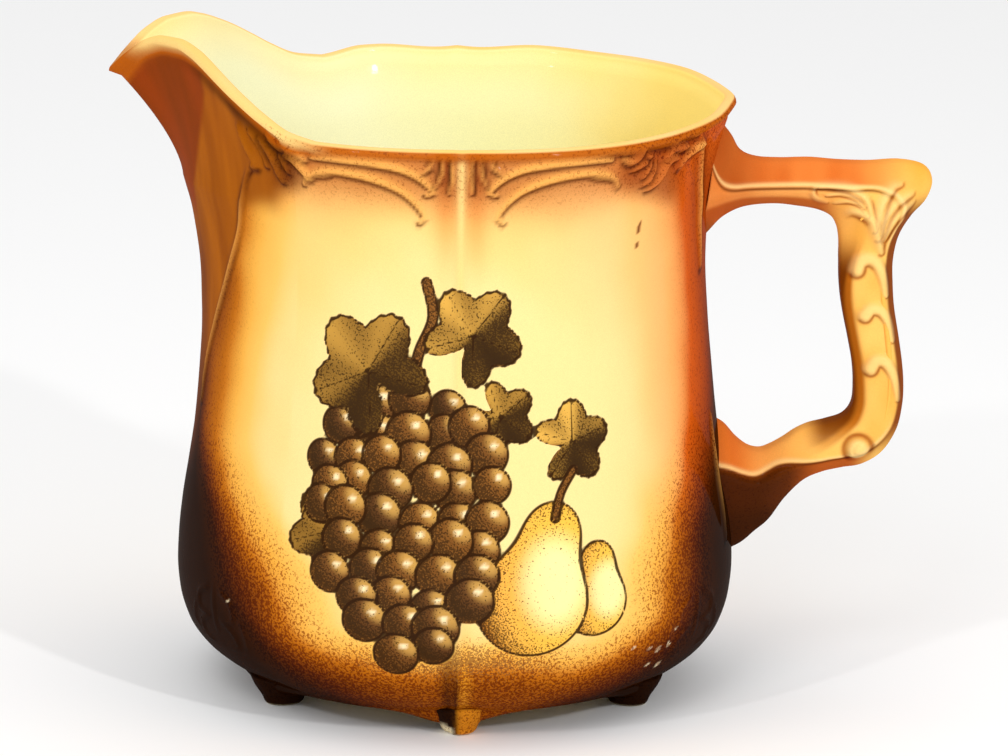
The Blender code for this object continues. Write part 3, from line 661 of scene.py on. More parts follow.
def paint_body(mesh, angle, height, kind, points):
    """Airbrushed colours of the body: pale panels that burn to brown at the sides and the foot."""
    turn = (angle + 180.0) % 360.0 - 180.0
    back = np.abs(turn) > 90.0
    a = np.where(back, 180.0 - np.abs(turn), np.abs(turn))
    lip_side = turn < 0
    u = np.radians(angle) * ROUND_RADIUS
    puff = cloud(u, height, 60.0, SEED)
    wide = cloud(u, height, 120.0, SEED + 1)
    outside = kind == "side"
    # How dark the spray is: sides, foot, and the low corners between them
    brown_from = np.where(lip_side, smooth_at(LIP_SIDE_BROWN, height), smooth_at(HANDLE_SIDE_BROWN, height))
    side = ease(brown_from - 25.0, brown_from + 19.0, a + 3.0 * wide + 2.0 * puff)
    most_lip, most_handle = 0.80 + 0.20 * ease(110.0, 60.0, height), 0.66 + 0.34 * ease(110.0, 50.0, height)
    most = np.where(lip_side, most_lip, most_handle)
    low = 0.58 * ease(36.0, 16.0, height + 3.0 * puff)
    density = 1 - (1 - most * side) * (1 - low)
    density = np.clip(density + 0.25 * ease(72.0, 92.0, a) * ease(150.0, 96.0, height), 0, 1)
    red = ease(34.0, 60.0, a) * ease(44.0, 84.0, height) * np.where(lip_side, 0.0, 1.0)
    rosy = ease(6.0, 40.0, a) * ease(50.0, 90.0, height) * np.where(lip_side, 0.0, 1.0)
    paint = mix(ramp(BROWN_SPRAY, density), ramp(RED_SPRAY, density), red)
    # The middle of the panels is palest behind the print, and golden round it
    centre = np.hypot(a / 58.0, (height - 88.0) / 66.0)
    around = ease(0.55, 1.05, centre + 0.10 * puff) * ease(0.5, 0.2, density)
    paint = mix(paint, mix(GOLDEN, PEACH, 0.8 * rosy), 0.55 * around)
    # Rose-brown mist under the rim
    reach = height + 3.0 * puff - 6.0 * ease(34.0, 60.0, a)
    top = ease(144.0, 164.0, reach)
    deep = np.where(lip_side, 0.6, 0.85) * ease(26.0, 58.0, a)
    mist = mix(mix(ROSE, RUST, ease(148.0, 164.0, reach)), TERRACOTTA, deep)
    paint = mix(paint, mist, (0.78 + 0.12 * ease(20.0, 50.0, a)) * top)
    # Darker brown over the carved leaves at both ends of the scrolls
    leaves = ease(33.0, 40.0, a) * ease(64.0, 54.0, a) * ease(151.0, 159.0, height + 0.4 * (a - 46.0))
    leaf_brown = np.where(lip_side[:, None], BROWN, RED_BROWN)
    paint = mix(paint, leaf_brown, np.where(lip_side, 0.93, 0.70) * leaves)
    # The lip: amber sides with a red-brown tip, and shade painted as a dark line below the rim
    from_lip = turn_from(angle, 270.0)
    on_keel = ease(1.06, 0.98, from_lip / smooth_at(KEEL_HALF, height)) * ease(76.0, 112.0, height)
    spout = np.maximum(on_keel, ease(50.0, 42.0, from_lip) * ease(146.0, 156.0, height))
    brush = 0.5 + 0.5 * cloud(3.5 * u, 0.6 * height, 60.0, SEED + 5)
    paint = mix(paint, mix(mix(CARAMEL, BROWN, 0.35), mix(AMBER, CARAMEL, 0.6), brush), 0.94 * spout)
    silhouette = ease(14.0, 2.0, from_lip) * ease(150.0, 120.0, height)
    paint = mix(paint, BROWN, 0.75 * silhouette * ease(60.0, 80.0, height))
    tip = ease(24.0, 21.5, from_lip + 0.42 * np.maximum(0, 180.0 - height)) * ease(136.0, 146.0, height)
    paint = mix(paint, mix(RED_BROWN, LIP_TIP_BROWN, brush), 0.85 * tip)
    below_rim = rim_height(angle) - height
    beside_lip = ease(12.0, 22.0, from_lip) * ease(54.0, 42.0, from_lip)
    # Shade painted as a dark line under the flaring rim beside the lip
    under_rim_shade = ease(12.0, 6.0, below_rim + 2.0 * puff) * beside_lip
    paint = mix(paint, DARK_BROWN, 0.8 * under_rim_shade)
    # Ribs: a painted highlight on the crest high up, rose-brown beside it near the rim, and near the foot a
    # painted highlight on the handle side and painted shade on the lip side
    across = np.radians(np.minimum(turn_from(angle, 0.0), turn_from(angle, 180.0))) * ROUND_RADIUS
    crest = np.exp(-((across / 1.1) ** 2))
    beside = np.exp(-(((across - 4.4) / 3.6) ** 2)) * ease(126.0, 164.0, height)
    paint = mix(paint, mix(ROSE, RED_BROWN, ease(146.0, 168.0, height)), 0.80 * beside)
    # A painted highlight on the rib's crest high up
    paint = mix(paint, mix(CREAM, GOLDEN, 0.4), 0.90 * crest * ease(70.0, 130.0, height))
    # A painted highlight on the rib's handle side near the foot
    gleam = np.exp(-(((across - 2.2 * np.sign(turn)) / 1.6) ** 2)) * (turn > 0) * ease(46.0, 16.0, height)
    paint = mix(paint, HONEY, 0.7 * gleam)
    # Painted shade on the rib's lip side near the foot
    low_rib_shade = np.exp(-(((across + 2.4 * np.sign(turn)) / 2.2) ** 2)) * ease(46.0, 12.0, height)
    paint = mix(paint, DARK_BROWN, 0.75 * low_rib_shade)
    # Painted shade below the relief, and a painted highlight on its crests
    lift, relief_shade = body_relief(angle, height)
    paint = mix(paint, paint * BODY_RELIEF_SHADE, 0.95 * relief_shade)
    # A painted highlight on the relief's crests, weaker over the leaf clusters
    high = ease(40.0, 80.0, height) * (0.75 - np.where(lip_side, 0.50, 0.30) * leaves)
    leaf_crest_highlight = np.where(lip_side[:, None], mix(AMBER, CARAMEL, 0.3), mix(ROSE, TERRACOTTA, 0.6))
    crest_highlight = mix(mix(GOLDEN, ROSE, 0.45), leaf_crest_highlight, leaves)
    paint = mix(paint, crest_highlight, np.clip(lift / 1.3, 0, 1) ** 2 * high)
    # Pale flecks and scratches
    for place, rise, size in PALE_FLECKS:
        chip = np.hypot((turn - place) * 1.3, height - rise) < size
        paint = np.where((chip & outside)[:, None], BARE_CLAY, paint)
    for place, rise, size in SCRATCHES:
        mark = (np.abs(turn - place) < SCRATCH_HALF) & (np.abs(height - rise) < size)
        paint = np.where((mark & outside)[:, None], BROWN, paint)
    # Darker amber painted below the bead as its shade, a pale roll along the lip, and the bead itself
    at_lip = ease(64.0, 50.0, from_lip)
    shade_below_bead = ease(4.6, 2.4, below_rim - 2.0 * at_lip) * outside
    paint = mix(paint, mix(mix(AMBER, CARAMEL, 0.7), TERRACOTTA, 0.3), 0.9 * shade_below_bead)
    roll = ease(4.2, 2.6, below_rim) * outside * at_lip * ease(3.0, 8.0, from_lip)
    paint = mix(paint, mix(CREAM, GOLDEN, 0.45), 0.9 * roll)
    bead = (kind == "bead")[:, None]
    edge_paint = mix(mix(CREAM, RIM_AMBER, 0.45), GOLDEN, 0.25 + 0.35 * puff)
    edge_paint = mix(edge_paint, RED_BROWN, 0.65 * ease(5.0, 2.0, from_lip))
    paint = np.where(bead, edge_paint, paint)
    x = points[:, 0] - AXIS_X
    # The inside: pale at the lip, golden towards the handle and close to the rim
    inside = mix(INSIDE_PALE, INSIDE_CREAM, ease(-30.0, 20.0, x + 20 * wide))
    inside = mix(inside, INSIDE_GOLD, ease(4.0, 70.0, x + 8 * puff))
    inside = mix(inside, INSIDE_GOLD, 0.45 * ease(-16.0, 0.0, -below_rim) + 0.3 * ease(-60.0, -95.0, x))
    paint = np.where((kind == "inside")[:, None], inside, paint)
    under = (kind == "under")[:, None]
    paint = np.where(under, mix(DARK_BROWN, CREAM, ease(55.5, 52.0, np.hypot(x, points[:, 1]))), paint)
    set_colour(mesh, "glaze_paint", np.clip(paint, 0, 1))
    # How thickly the sprayed drops lie, and the printed picture's values
    spatter = np.clip(density * 1.6, 0, 1) * ease(1.0, 0.86, density)
    spatter = spatter * (0.25 + 0.75 * ease(92.0, 50.0, height))
    spatter = (spatter + 0.22 * top + 0.03) * (1 - 0.75 * spout)
    set_number(mesh, "spatter", np.where(outside, np.clip(spatter, 0, 1), 0.0))
    shapes = still_life(np.radians(turn) * ROUND_RADIUS, height)
    front = outside & (np.abs(turn) < PRINT_HALF_ANGLE + 2.0)
    set_colour(mesh, "print_paint", shapes["colour"])
    set_number(mesh, "print_edge", np.where(front, np.clip(shapes["edge"], -4, 4), 4.0))
    set_number(mesh, "print_line", np.where(front, np.clip(shapes["line"], 0, 4), 4.0))
    set_number(mesh, "print_shade", np.where(front, shapes["shade"], 0.0))
    set_number(mesh, "ground_mist", np.where(front, shapes["ground"], 0.0))


def circle(u, v, at, radius):
    """Signed distance to a circle."""
    return np.hypot(u - at[0], v - at[1]) - radius


def pear_gap(u, v, at, size, lean):
    """Signed distance to a pear: a round body joined softly to a narrower neck."""
    neck = (at[0] + lean * size, at[1] + 1.35 * size)
    a, b = circle(u, v, at, size), circle(u, v, neck, 0.48 * size)
    h = np.clip(0.5 + 0.5 * (b - a) / (0.9 * size), 0, 1)
    return b * (1 - h) + a * h - 0.9 * size * h * (1 - h)


def leaf_gap(u, v, at, size, turn):
    """Signed distance to a five-lobed leaf, with its angle and share from the stalk."""
    a = np.arctan2(v - at[1], u - at[0]) - turn
    a = (a + math.pi) % (2 * math.pi) - math.pi
    lobes = 0.66 + 0.30 * np.abs(np.cos(2.5 * a)) ** 1.2
    notch = 1 - 0.62 * np.exp(-(((np.abs(a) - math.pi) / 0.34) ** 2))
    teeth = 1 + 0.045 * (2 * np.abs((a * 17 / math.pi) % 1 - 0.5) - 0.5)
    reach = size * lobes * notch * teeth
    far = np.hypot(u - at[0], v - at[1])
    return (far - reach) * 0.8, a, far / size


# Where the side spray is half way to brown: height, angle from the rib
LIP_SIDE_BROWN = [
    (8.0, 28.0), (20.0, 38.0), (30.0, 42.0), (42.0, 46.0), (58.0, 54.0), (68.0, 62.0), (82.0, 69.0),
    (100.0, 69.0), (120.0, 65.0), (142.0, 61.0), (160.0, 57.0), (173.0, 55.0),
]
HANDLE_SIDE_BROWN = [
    (8.0, 33.0), (20.0, 48.0), (32.0, 53.0), (46.0, 55.0), (62.0, 59.0), (84.0, 64.0), (120.0, 63.0),
    (150.0, 57.0), (173.0, 48.0),
]

# Small pale flecks and scratches: angle from the front rib, height, size
PALE_FLECKS = [
    (41.5, 22.5, 0.55), (44.2, 24.6, 0.7), (47.0, 23.4, 0.6), (50.2, 24.2, 0.7), (44.6, 19.4, 0.6),
    (47.6, 20.4, 0.5), (39.2, 26.2, 0.4), (52.0, 28.6, 0.5), (49.0, 18.2, 0.6), (-47.5, 23.0, 0.6),
    (-42.5, 22.6, 0.5), (-34.5, 21.2, 0.6), (-54.0, 35.0, 0.5), (-68.0, 52.0, 0.4),
]
SCRATCHES = [(44.0, 146.0, 1.6), (44.0, 141.4, 1.0)]
SCRATCH_HALF = 0.31

# Still life: leaves (centre, size, turn, tone), pears (place, size, lean), rows of grapes (height,
# middle, count), and stalks as paths
LEAVES = [
    ((-27.0, 108.0), 19.0, 2.3, 0.15),
    ((4.0, 119.0), 15.5, 0.9, 0.45),
    ((-36.0, 62.0), 13.5, 3.5, 0.05),
    ((33.0, 88.0), 12.5, 0.3, 0.6),
    ((12.0, 96.0), 11.0, -0.6, 0.25),
]
PEARS = [
    ((38.0, 42.0), 9.6, 0.10),
    ((20.0, 43.5), 15.4, 0.42),
]
BUNCH_ROWS = [
    (100.0, -18.0, 4), (92.0, -15.0, 5), (84.0, -16.0, 6), (76.0, -14.0, 6), (68.0, -16.0, 6),
    (60.0, -13.0, 5), (52.0, -15.0, 5), (44.0, -12.0, 4), (36.5, -14.0, 3), (30.0, -11.0, 2),
]
GRAPE_RADIUS = 6.0
GRAPE_SPACING = 9.6
TWIG_HALF, STALK_HALF = 1.5, 1.1
LOBE_TURN = 1.2566
FAR = 9.0
TWIG = [(-10.0, 134.0), (-8.0, 124.0), (-12.0, 114.0), (-14.0, 104.0)]
PEAR_STALK = [(27.0, 67.0), (29.0, 74.0), (33.0, 80.0)]


def still_life(u, v):
    """The printed fruit: colour, signed gap to its outline, gap to its drawn lines, shade."""
    rng = np.random.default_rng(SEED)
    colour = np.tile(np.array(SEPIA), (len(u), 1))
    edge = np.full(u.shape, FAR)
    line = np.full(u.shape, FAR)
    shade = np.zeros(u.shape)

    def lay(gap, rgb, tone, inner=None):
        nonlocal colour, edge, line, shade
        inside = gap < 0
        colour = np.where(inside[:, None], rgb, colour)
        drawn = np.abs(gap) if inner is None else np.minimum(np.abs(gap), inner)
        line = np.where(inside, drawn, np.minimum(line, np.abs(gap)))
        shade = np.where(inside, tone, shade)
        edge = np.minimum(edge, gap)

    def lay_leaf(at, size, turn, tone):
        gap, a, far = leaf_gap(u, v, at, size, turn)
        veins = np.full(u.shape, FAR)
        for lobe in (-2, -1, 0, 1, 2):
            off = np.abs(a - lobe * LOBE_TURN)
            veins = np.minimum(veins, far * size * np.abs(np.sin(np.minimum(off, 1.5))) + 0.22)
        fold = 0.5 + 0.5 * np.sin(2.5 * a * 2 + 0.8) * np.clip(far, 0, 1)
        lit = (ease(-1.0, 1.0, np.cos(a + turn - 2.2)) * 0.6 + 0.4 * fold) ** 1.25
        rgb = mix(mix(UMBER, LEAF_BROWN, lit), LEAF_LIGHT, np.clip(lit * lit * (0.35 + tone), 0, 1))
        lay(gap, rgb, 1 - lit, veins)

    def lay_grape(at, radius, violet):
        gap = circle(u, v, at, radius)
        x, y = (u - at[0]) / radius, (v - at[1]) / radius
        depth = np.sqrt(np.clip(1 - x * x - y * y, 0, 1))
        lit = np.clip(0.55 * x + 0.55 * y + 0.62 * depth, 0, 1) ** 1.4
        rgb = mix(mix(UMBER, SEPIA, 1 - violet), mix(GRAPE_VIOLET, SEPIA, 1 - violet), lit)
        rgb = mix(rgb, GRAPE_BLOOM, 0.60 * ease(0.58, 0.97, lit))
        rim = ease(0.72, 0.95, np.hypot(x, y)) * ease(0.0, -0.8, x + y)
        rgb = mix(rgb, SEPIA, 0.8 * rim)
        spot = ease(0.24, 0.10, np.hypot(x - 0.34, (y - 0.42) * 1.3))
        rgb = mix(rgb, GRAPE_SPOT, 0.85 * spot)
        lay(gap, rgb, 1 - lit)

    def lay_pear(at, size, lean):
        gap = pear_gap(u, v, at, size, lean)
        x, y = (u - at[0] - 0.3 * size) / size, (v - at[1] - 0.35 * size) / size
        lit = np.clip(1.12 - 0.62 * np.hypot(x * 0.95, y * 0.72) ** 1.35 + 0.12 * x, 0, 1)
        rgb = mix(PEAR_SHADE, PEAR_GOLD, ease(0.10, 0.62, lit))
        rgb = mix(rgb, PEAR_LIGHT, ease(0.66, 0.99, lit))
        blush = ease(0.5, -0.9, (u - at[0]) / size) * ease(0.1, 0.8, lit)
        rgb = mix(rgb, PEAR_BLUSH, 0.6 * blush)
        lay(gap, rgb, 1 - lit)

    def lay_twig(path, width):
        gap = nearest_on(smooth_path(path, 14), u, v)[0]
        lay(gap - width, np.tile(np.array(SEPIA), (len(u), 1)), np.full(u.shape, 0.6))

    lay_leaf(*LEAVES[3])
    lay_leaf(*LEAVES[4])
    for at, size, lean in PEARS:
        lay_pear(at, size, lean)
    lay_twig(PEAR_STALK, STALK_HALF)
    lay_leaf(*LEAVES[2])
    for height, middle, count in BUNCH_ROWS:
        for k in rng.permutation(count):
            at = (
                middle + (k - (count - 1) / 2) * GRAPE_SPACING + rng.uniform(-1.5, 1.5),
                height + rng.uniform(-1.8, 1.8),
            )
            lay_grape(at, GRAPE_RADIUS * rng.uniform(0.88, 1.10), rng.uniform(0.1, 1.0))
    lay_twig(TWIG, TWIG_HALF)
    lay_leaf(*LEAVES[1])
    lay_leaf(*LEAVES[0])
    spread = np.clip(1 - np.hypot((u - 2.0) / 46.0, (v - 27.0) / 9.0), 0, 1)
    return {"colour": colour, "edge": edge, "line": line, "shade": shade, "ground": spread}


def handle_rows():
    """Handle stations shared evenly along the handle, smoothed."""
    rows = np.array([[*outer, *inner, *rest] for outer, inner, *rest in HANDLE_STATIONS])
    run = run_along((rows[:, 0:2] + rows[:, 2:4]) / 2)
    padded = np.vstack([2 * rows[0] - rows[1], rows, 2 * rows[-1] - rows[-2]])
    return curve_through(run, padded, HANDLE_STEPS)


def round_corners(ring):
    """Cuts a closed ring's corners three times, least at first, which rounds them tightly."""
    for cut in (0.14, 0.25, 0.25):
        after = np.roll(ring, -1, axis=1)
        ring = np.stack([(1 - cut) * ring + cut * after, cut * ring + (1 - cut) * after], axis=2)
        ring = ring.reshape(ring.shape[0], -1, 6)
    return ring


def even_rings(rings, count):
    """The same closed rings, each with its points shared evenly round it."""
    out = np.empty((len(rings), count, rings.shape[2]))
    for k, ring in enumerate(rings):
        closed = np.vstack([ring, ring[:1]])
        run = run_along(closed[:, :3])
        spots = np.arange(count) / count * run[-1]
        out[k] = np.column_stack([np.interp(spots, run, closed[:, c]) for c in range(rings.shape[2])])
    return out


def half_depth_at(x, z, rows):
    """How far the handle's face lies from its middle plane."""
    middle = (rows[:, 0:2] + rows[:, 2:4]) / 2
    k = np.argmin((middle[:, 0] - x) ** 2 + (middle[:, 1] - z) ** 2)
    return rows[k, 4]


def past_ridge(past, x, z):
    """How far a spot lies outside the ridge line, in mm, which bends at both roots."""
    at_rim = 8.0 * np.exp(-np.maximum(x - 72.3, 0.0) / 2.2) * ease(130.0, 140.0, z)
    at_foot = 4.2 * ease(88.0, 78.0, z) * ease(108.0, 92.0, x)
    return past - at_rim + at_foot


def on_bars(z):
    """1 on the handle's two bars, 0 on its upright."""
    return 1 - ease(136.0, 128.0, z) * ease(72.0, 82.0, z)


def groove_side(z):
    """The groove lies inside the ridge on the top bar, and outside it on the lower."""
    return np.where(z > 100.0, -1.0, 1.0)


def make_handle():
    """Rounded sections swept along the stations; leaf, curls, button and ridge stand on both faces."""
    rows = handle_rows()
    outer, inner, deep = rows[:, 0:2], rows[:, 2:4], rows[:, 4]
    near, far = rows[:, 5], rows[:, 6]
    width = np.linalg.norm(outer - inner, axis=1)
    edge = np.minimum(HANDLE_EDGE_HALF, 0.45 * deep)
    zero, one = np.zeros(len(rows)), np.ones(len(rows))
    front = [(zero, edge), (near, deep), (far, deep), (one, edge)]
    corners = front + [(share, -depth) for share, depth in reversed(front)]
    ring = np.stack(
        [np.column_stack([
            inner[:, 0] + (outer[:, 0] - inner[:, 0]) * s, h, inner[:, 1] + (outer[:, 1] - inner[:, 1]) * s,
            s, (s - near) * width, (s - far) * width,
        ]) for s, h in corners],
        axis=1,
    )
    ring = even_rings(round_corners(ring), HANDLE_ROUND)
    count = ring.shape[1]
    cross = ring.reshape(-1, 6)[:, 3:]
    points = ring.reshape(-1, 6)[:, :3].copy()
    face = np.repeat(deep, count)
    facing = ease(0.55, 0.9, np.abs(points[:, 1]) / face)
    lift = np.zeros(len(points))
    # Shade painted below the leaf and curls and in the ditch round the button
    relief_shade = np.zeros(len(points))
    for path, height, half in HANDLE_LEAF:
        gap, under, along = nearest_on(smooth_path(path, 5 * len(path)), points[:, 0], points[:, 2])
        gap = gap / taper(along)
        fall = half * (1.1 - 0.45 * under)
        lift = np.maximum(lift, height * taper(along) * np.exp(-((gap / fall) ** 2)))
        relief_shade = np.maximum(relief_shade, under * np.exp(-(((gap - 1.0 * half) / (0.40 * half)) ** 2)))
    for path, height, half in HANDLE_CURLS:
        gap, under, along = nearest_on(smooth_path(path, 5 * len(path)), points[:, 0], points[:, 2])
        gap = gap / (1.15 - 0.65 * along)
        fall = half * (1.15 - 0.25 * under)
        lift = np.maximum(lift, height * (1.1 - 0.5 * along) * np.exp(-((gap / fall) ** 4)))
        relief_shade = np.maximum(relief_shade, under * np.exp(-(((gap - 1.12 * half) / (0.30 * half)) ** 2)))
    knob = np.hypot(points[:, 0] - BUTTON_AT[0], points[:, 2] - BUTTON_AT[1])
    boss = 1.5 * ease(BUTTON_RADIUS, 0.62 * BUTTON_RADIUS, knob) + 0.7 * ease(2.0, 0.6, knob)
    ditch = np.exp(-(((knob - 1.12 * BUTTON_RADIUS) / 0.8) ** 2))
    lift = np.maximum(lift, boss) - 0.5 * ditch
    past = past_ridge(cross[:, 2], points[:, 0], points[:, 2])
    groove = np.exp(-(((past * groove_side(points[:, 2]) - 1.5) / 0.7) ** 2))
    roll = 0.5 * np.exp(-((past / 0.8) ** 2)) - 0.35 * groove
    lift = lift + roll * on_bars(points[:, 2]) * (knob > BUTTON_RADIUS + 1.0)
    relief_shade = np.clip(np.maximum(relief_shade, ditch), 0, 1) * facing
    points[:, 1] += np.sign(points[:, 1]) * lift * facing
    points[:, 0] = np.minimum(points[:, 0], HANDLE_REACH - HANDLE_WITHIN)
    points = points + np.array([AXIS_X, 0, 0])
    faces = []
    for k in range(ring.shape[0] - 1):
        faces += ring_quads(k * count, (k + 1) * count, count, flipped=True)
    faces.append(list(range(count)))
    faces.append(list(reversed(range((ring.shape[0] - 1) * count, ring.shape[0] * count))))
    handle = mesh_object("handle", points, faces)
    paint_handle(handle.data, points, cross, lift * facing, relief_shade)
    return handle


def paint_handle(mesh, points, cross, lift, relief_shade):
    """Terracotta top bar, golden leaf and upright, and a foot of the handle that burns to black."""
    x, z = points[:, 0] - AXIS_X, points[:, 2]
    past = past_ridge(cross[:, 2], x, z)
    puff = cloud(x, z, 34.0, SEED + 3)
    inner_slope = ease(0.2, -1.3, cross[:, 1])
    outer_slope = ease(-0.2, 1.0, past)
    ridge = np.exp(-((past / 0.55) ** 2)) * on_bars(z)
    groove = np.exp(-(((past * groove_side(z) - 1.35) / 0.55) ** 2)) * on_bars(z)
    gold = mix(GOLDEN, HONEY, np.clip(0.32 + 0.45 * puff, 0, 1))
    gold = mix(gold, CREAM, 0.08)
    top_bar = ease(122.0, 142.0, z)
    red = ease(124.0, 92.0, x + 4 * puff) * top_bar
    face = mix(HANDLE_ORANGE, TERRACOTTA, np.clip(0.15 * puff + 0.75 * ease(96.0, 76.0, x), 0, 1))
    paint = mix(gold, face, 0.92 * red)
    above = outer_slope * ease(146.0, 150.0, z)
    slope_red = mix(mix(TERRACOTTA, ROSE, 0.30 + 0.3 * puff), RED_BROWN, 0.6 * ease(92.0, 76.0, x))
    paint = mix(paint, slope_red, 0.92 * above * ease(136.0, 112.0, x))
    tip = outer_slope * ease(124.0, 134.0, x) * ease(140.0, 148.0, z)
    paint = mix(paint, HONEY, 0.4 * tip)
    upright = ease(148.0, 140.0, z) * ease(66.0, 80.0, z) * ease(100.0, 108.0, x)
    in_shade = upright * ease(136.0, 122.0, z)
    paint = mix(paint, mix(AMBER, CARAMEL, 0.35), 0.95 * inner_slope * in_shade)
    paint = mix(paint, mix(RED_BROWN, BROWN, 0.5), 0.95 * ease(0.1, 1.2, cross[:, 2]) * upright)
    far_inner = ease(-1.8, -3.6, cross[:, 1])
    paint = mix(paint, mix(TERRACOTTA, RED_BROWN, 0.6), 0.8 * far_inner * top_bar * ease(112.0, 104.0, x))
    paint = mix(paint, BROWN, 0.85 * far_inner * in_shade)
    root = ease(143.0, 133.0, z + 0.8 * (x - 70.0)) * ease(84.0, 76.0, x)
    paint = mix(paint, DARK_BROWN, 0.95 * root * top_bar)
    lower = ease(88.0, 78.0, z)
    below = ease(0.2, 1.3, past)
    paint = mix(paint, mix(ROSE, TERRACOTTA, 0.30 * ease(96.0, 84.0, x)), 0.80 * lower * ease(108.0, 86.0, x))
    paint = mix(paint, mix(TERRACOTTA, RED_BROWN, 0.45), 0.92 * below * lower * ease(124.0, 114.0, x))
    paint = mix(paint, TERRACOTTA, 0.7 * ease(90.0, 80.0, x) * lower)
    burnt = below * ease(108.0, 96.0, x) * lower
    paint = mix(paint, mix(BROWN, DARK_BROWN, 0.55 + 0.45 * ease(100.0, 88.0, x)), 0.95 * burnt)
    paint = mix(paint, DARK_BROWN, 0.95 * ease(58.0, 46.0, z + 2 * puff))
    # A painted highlight along the ridge line on both bars
    paint = mix(paint, mix(CREAM, ROSE, 0.35), 0.80 * ridge)
    # Painted shade in the groove beside the ridge
    paint = mix(paint, BROWN, 0.85 * groove * ease(132.0, 118.0, x))
    # Painted shade below the leaf and curls and round the button
    paint = mix(paint, paint * HANDLE_RELIEF_SHADE, 0.92 * relief_shade)
    # A painted highlight on the raised relief
    paint = mix(paint, mix(paint, CREAM, 0.5), np.clip(lift / 1.4, 0, 1))
    set_colour(mesh, "glaze_paint", np.clip(paint, 0, 1))
    set_number(mesh, "spatter", 0.05 * red + 0.20 * burnt + 0.03)
    finish_plain(mesh)


def finish_plain(mesh):
    """A piece with no print still carries the print's values, set to none."""
    count = len(mesh.vertices)
    set_colour(mesh, "print_paint", np.tile(np.array(SEPIA), (count, 1)))
    for name in ("print_edge", "print_line"):
        set_number(mesh, name, np.full(count, 4.0))
    for name in ("print_shade", "ground_mist"):
        set_number(mesh, name, np.zeros(count))


class Tree:
    """Short calls that add nodes to a tree and join them."""

    def __init__(self, tree):
        self.tree = tree

    def add(self, kind, inputs=(), **settings):
        node = self.tree.nodes.new(kind)
        for name, value in settings.items():
            setattr(node, name, value)
        for key, value in dict(inputs).items():
            if isinstance(value, bpy.types.NodeSocket):
                self.tree.links.new(value, node.inputs[key])
            else:
                node.inputs[key].default_value = value
        return node

    def maths(self, operation, a, b=0.5, clamp=False):
        return self.add("ShaderNodeMath", {0: a, 1: b}, operation=operation, use_clamp=clamp).outputs[0]

    def less(self, a, b, share):
        """a less a share of b."""
        return self.maths("SUBTRACT", a, self.maths("MULTIPLY", b, share))

    def attribute(self, name, output="Fac"):
        return self.add("ShaderNodeAttribute", attribute_name=name).outputs[output]

    def vector_maths(self, operation, inputs):
        return self.add("ShaderNodeVectorMath", inputs, operation=operation).outputs[0]

    def blend(self, share, a, b):
        node = self.add("ShaderNodeMix", {0: share, 6: a, 7: b}, data_type="RGBA")
        return node.outputs[2]

    def between(self, value, low, high, to_low=0.0, to_high=1.0):
        node = self.add(
            "ShaderNodeMapRange",
            {0: value, 1: low, 2: high, 3: to_low, 4: to_high},
            interpolation_type="SMOOTHSTEP",
        )
        return node.outputs[0]


def glaze_material():
    """Glossy glaze over sprayed colour, with a stippled print under it."""
    material = bpy.data.materials.new("airbrushed glaze")
    material.use_nodes = True
    tree = Tree(material.node_tree)
    shader = material.node_tree.nodes["Principled BSDF"]
    place = tree.add("ShaderNodeTexCoord").outputs["Object"]
    paint = tree.attribute("glaze_paint", "Color")
    spatter = tree.attribute("spatter")

    def grain(scale, detail, roughness=0.5):
        inputs = {"Vector": place, "Scale": scale, "Detail": detail, "Roughness": roughness}
        return tree.add("ShaderNodeTexNoise", inputs).outputs["Fac"]

    drops = grain(1400.0, 2.0, 0.65)
    mist = grain(4200.0, 1.0)
    # Sprayed drops darken the colour where the spray is dense, and leave light gaps
    drop = tree.between(tree.maths("SUBTRACT", drops, tree.less(0.62, spatter, 0.15)), -0.03, 0.05)
    drop = tree.maths("MULTIPLY", drop, tree.between(spatter, 0.06, 0.40))
    darker = tree.vector_maths("MULTIPLY", {0: paint, 1: DROP_TINT})
    colour = tree.blend(tree.maths("MULTIPLY", drop, 0.85), paint, darker)
    fine = tree.between(mist, 0.30, 0.70, 0.95, 1.05)
    colour = tree.vector_maths("SCALE", {0: colour, "Scale": fine})
    # Rare dark specks in the glaze
    speck = tree.add("ShaderNodeTexVoronoi", {"Vector": place, "Scale": 70.0, "Randomness": 1.0})
    chance = tree.add("ShaderNodeSeparateColor", {0: speck.outputs["Color"]}).outputs[0]
    dot = tree.between(speck.outputs["Distance"], 0.034, 0.020)
    rare = tree.maths("MULTIPLY", dot, tree.maths("GREATER_THAN", chance, 0.80))
    colour = tree.blend(rare, colour, SPECK_BROWN)
    colour = print_over(tree, colour, place, grain)
    tree.tree.links.new(colour, shader.inputs["Base Color"])
    for socket, value in GLOSS.items():
        shader.inputs[socket].default_value = value
    # A slow ripple and fine pits in the glaze
    bump = tree.add("ShaderNodeBump", {"Height": grain(42.0, 2.0), "Strength": 0.10, "Distance": 1.6 * MM})
    pits = {"Height": grain(620.0, 1.0), "Strength": 0.05, "Distance": 0.3 * MM, "Normal": bump.outputs[0]}
    bump = tree.add("ShaderNodeBump", pits)
    for socket in ("Normal", "Coat Normal"):
        tree.tree.links.new(bump.outputs[0], shader.inputs[socket])
    return material


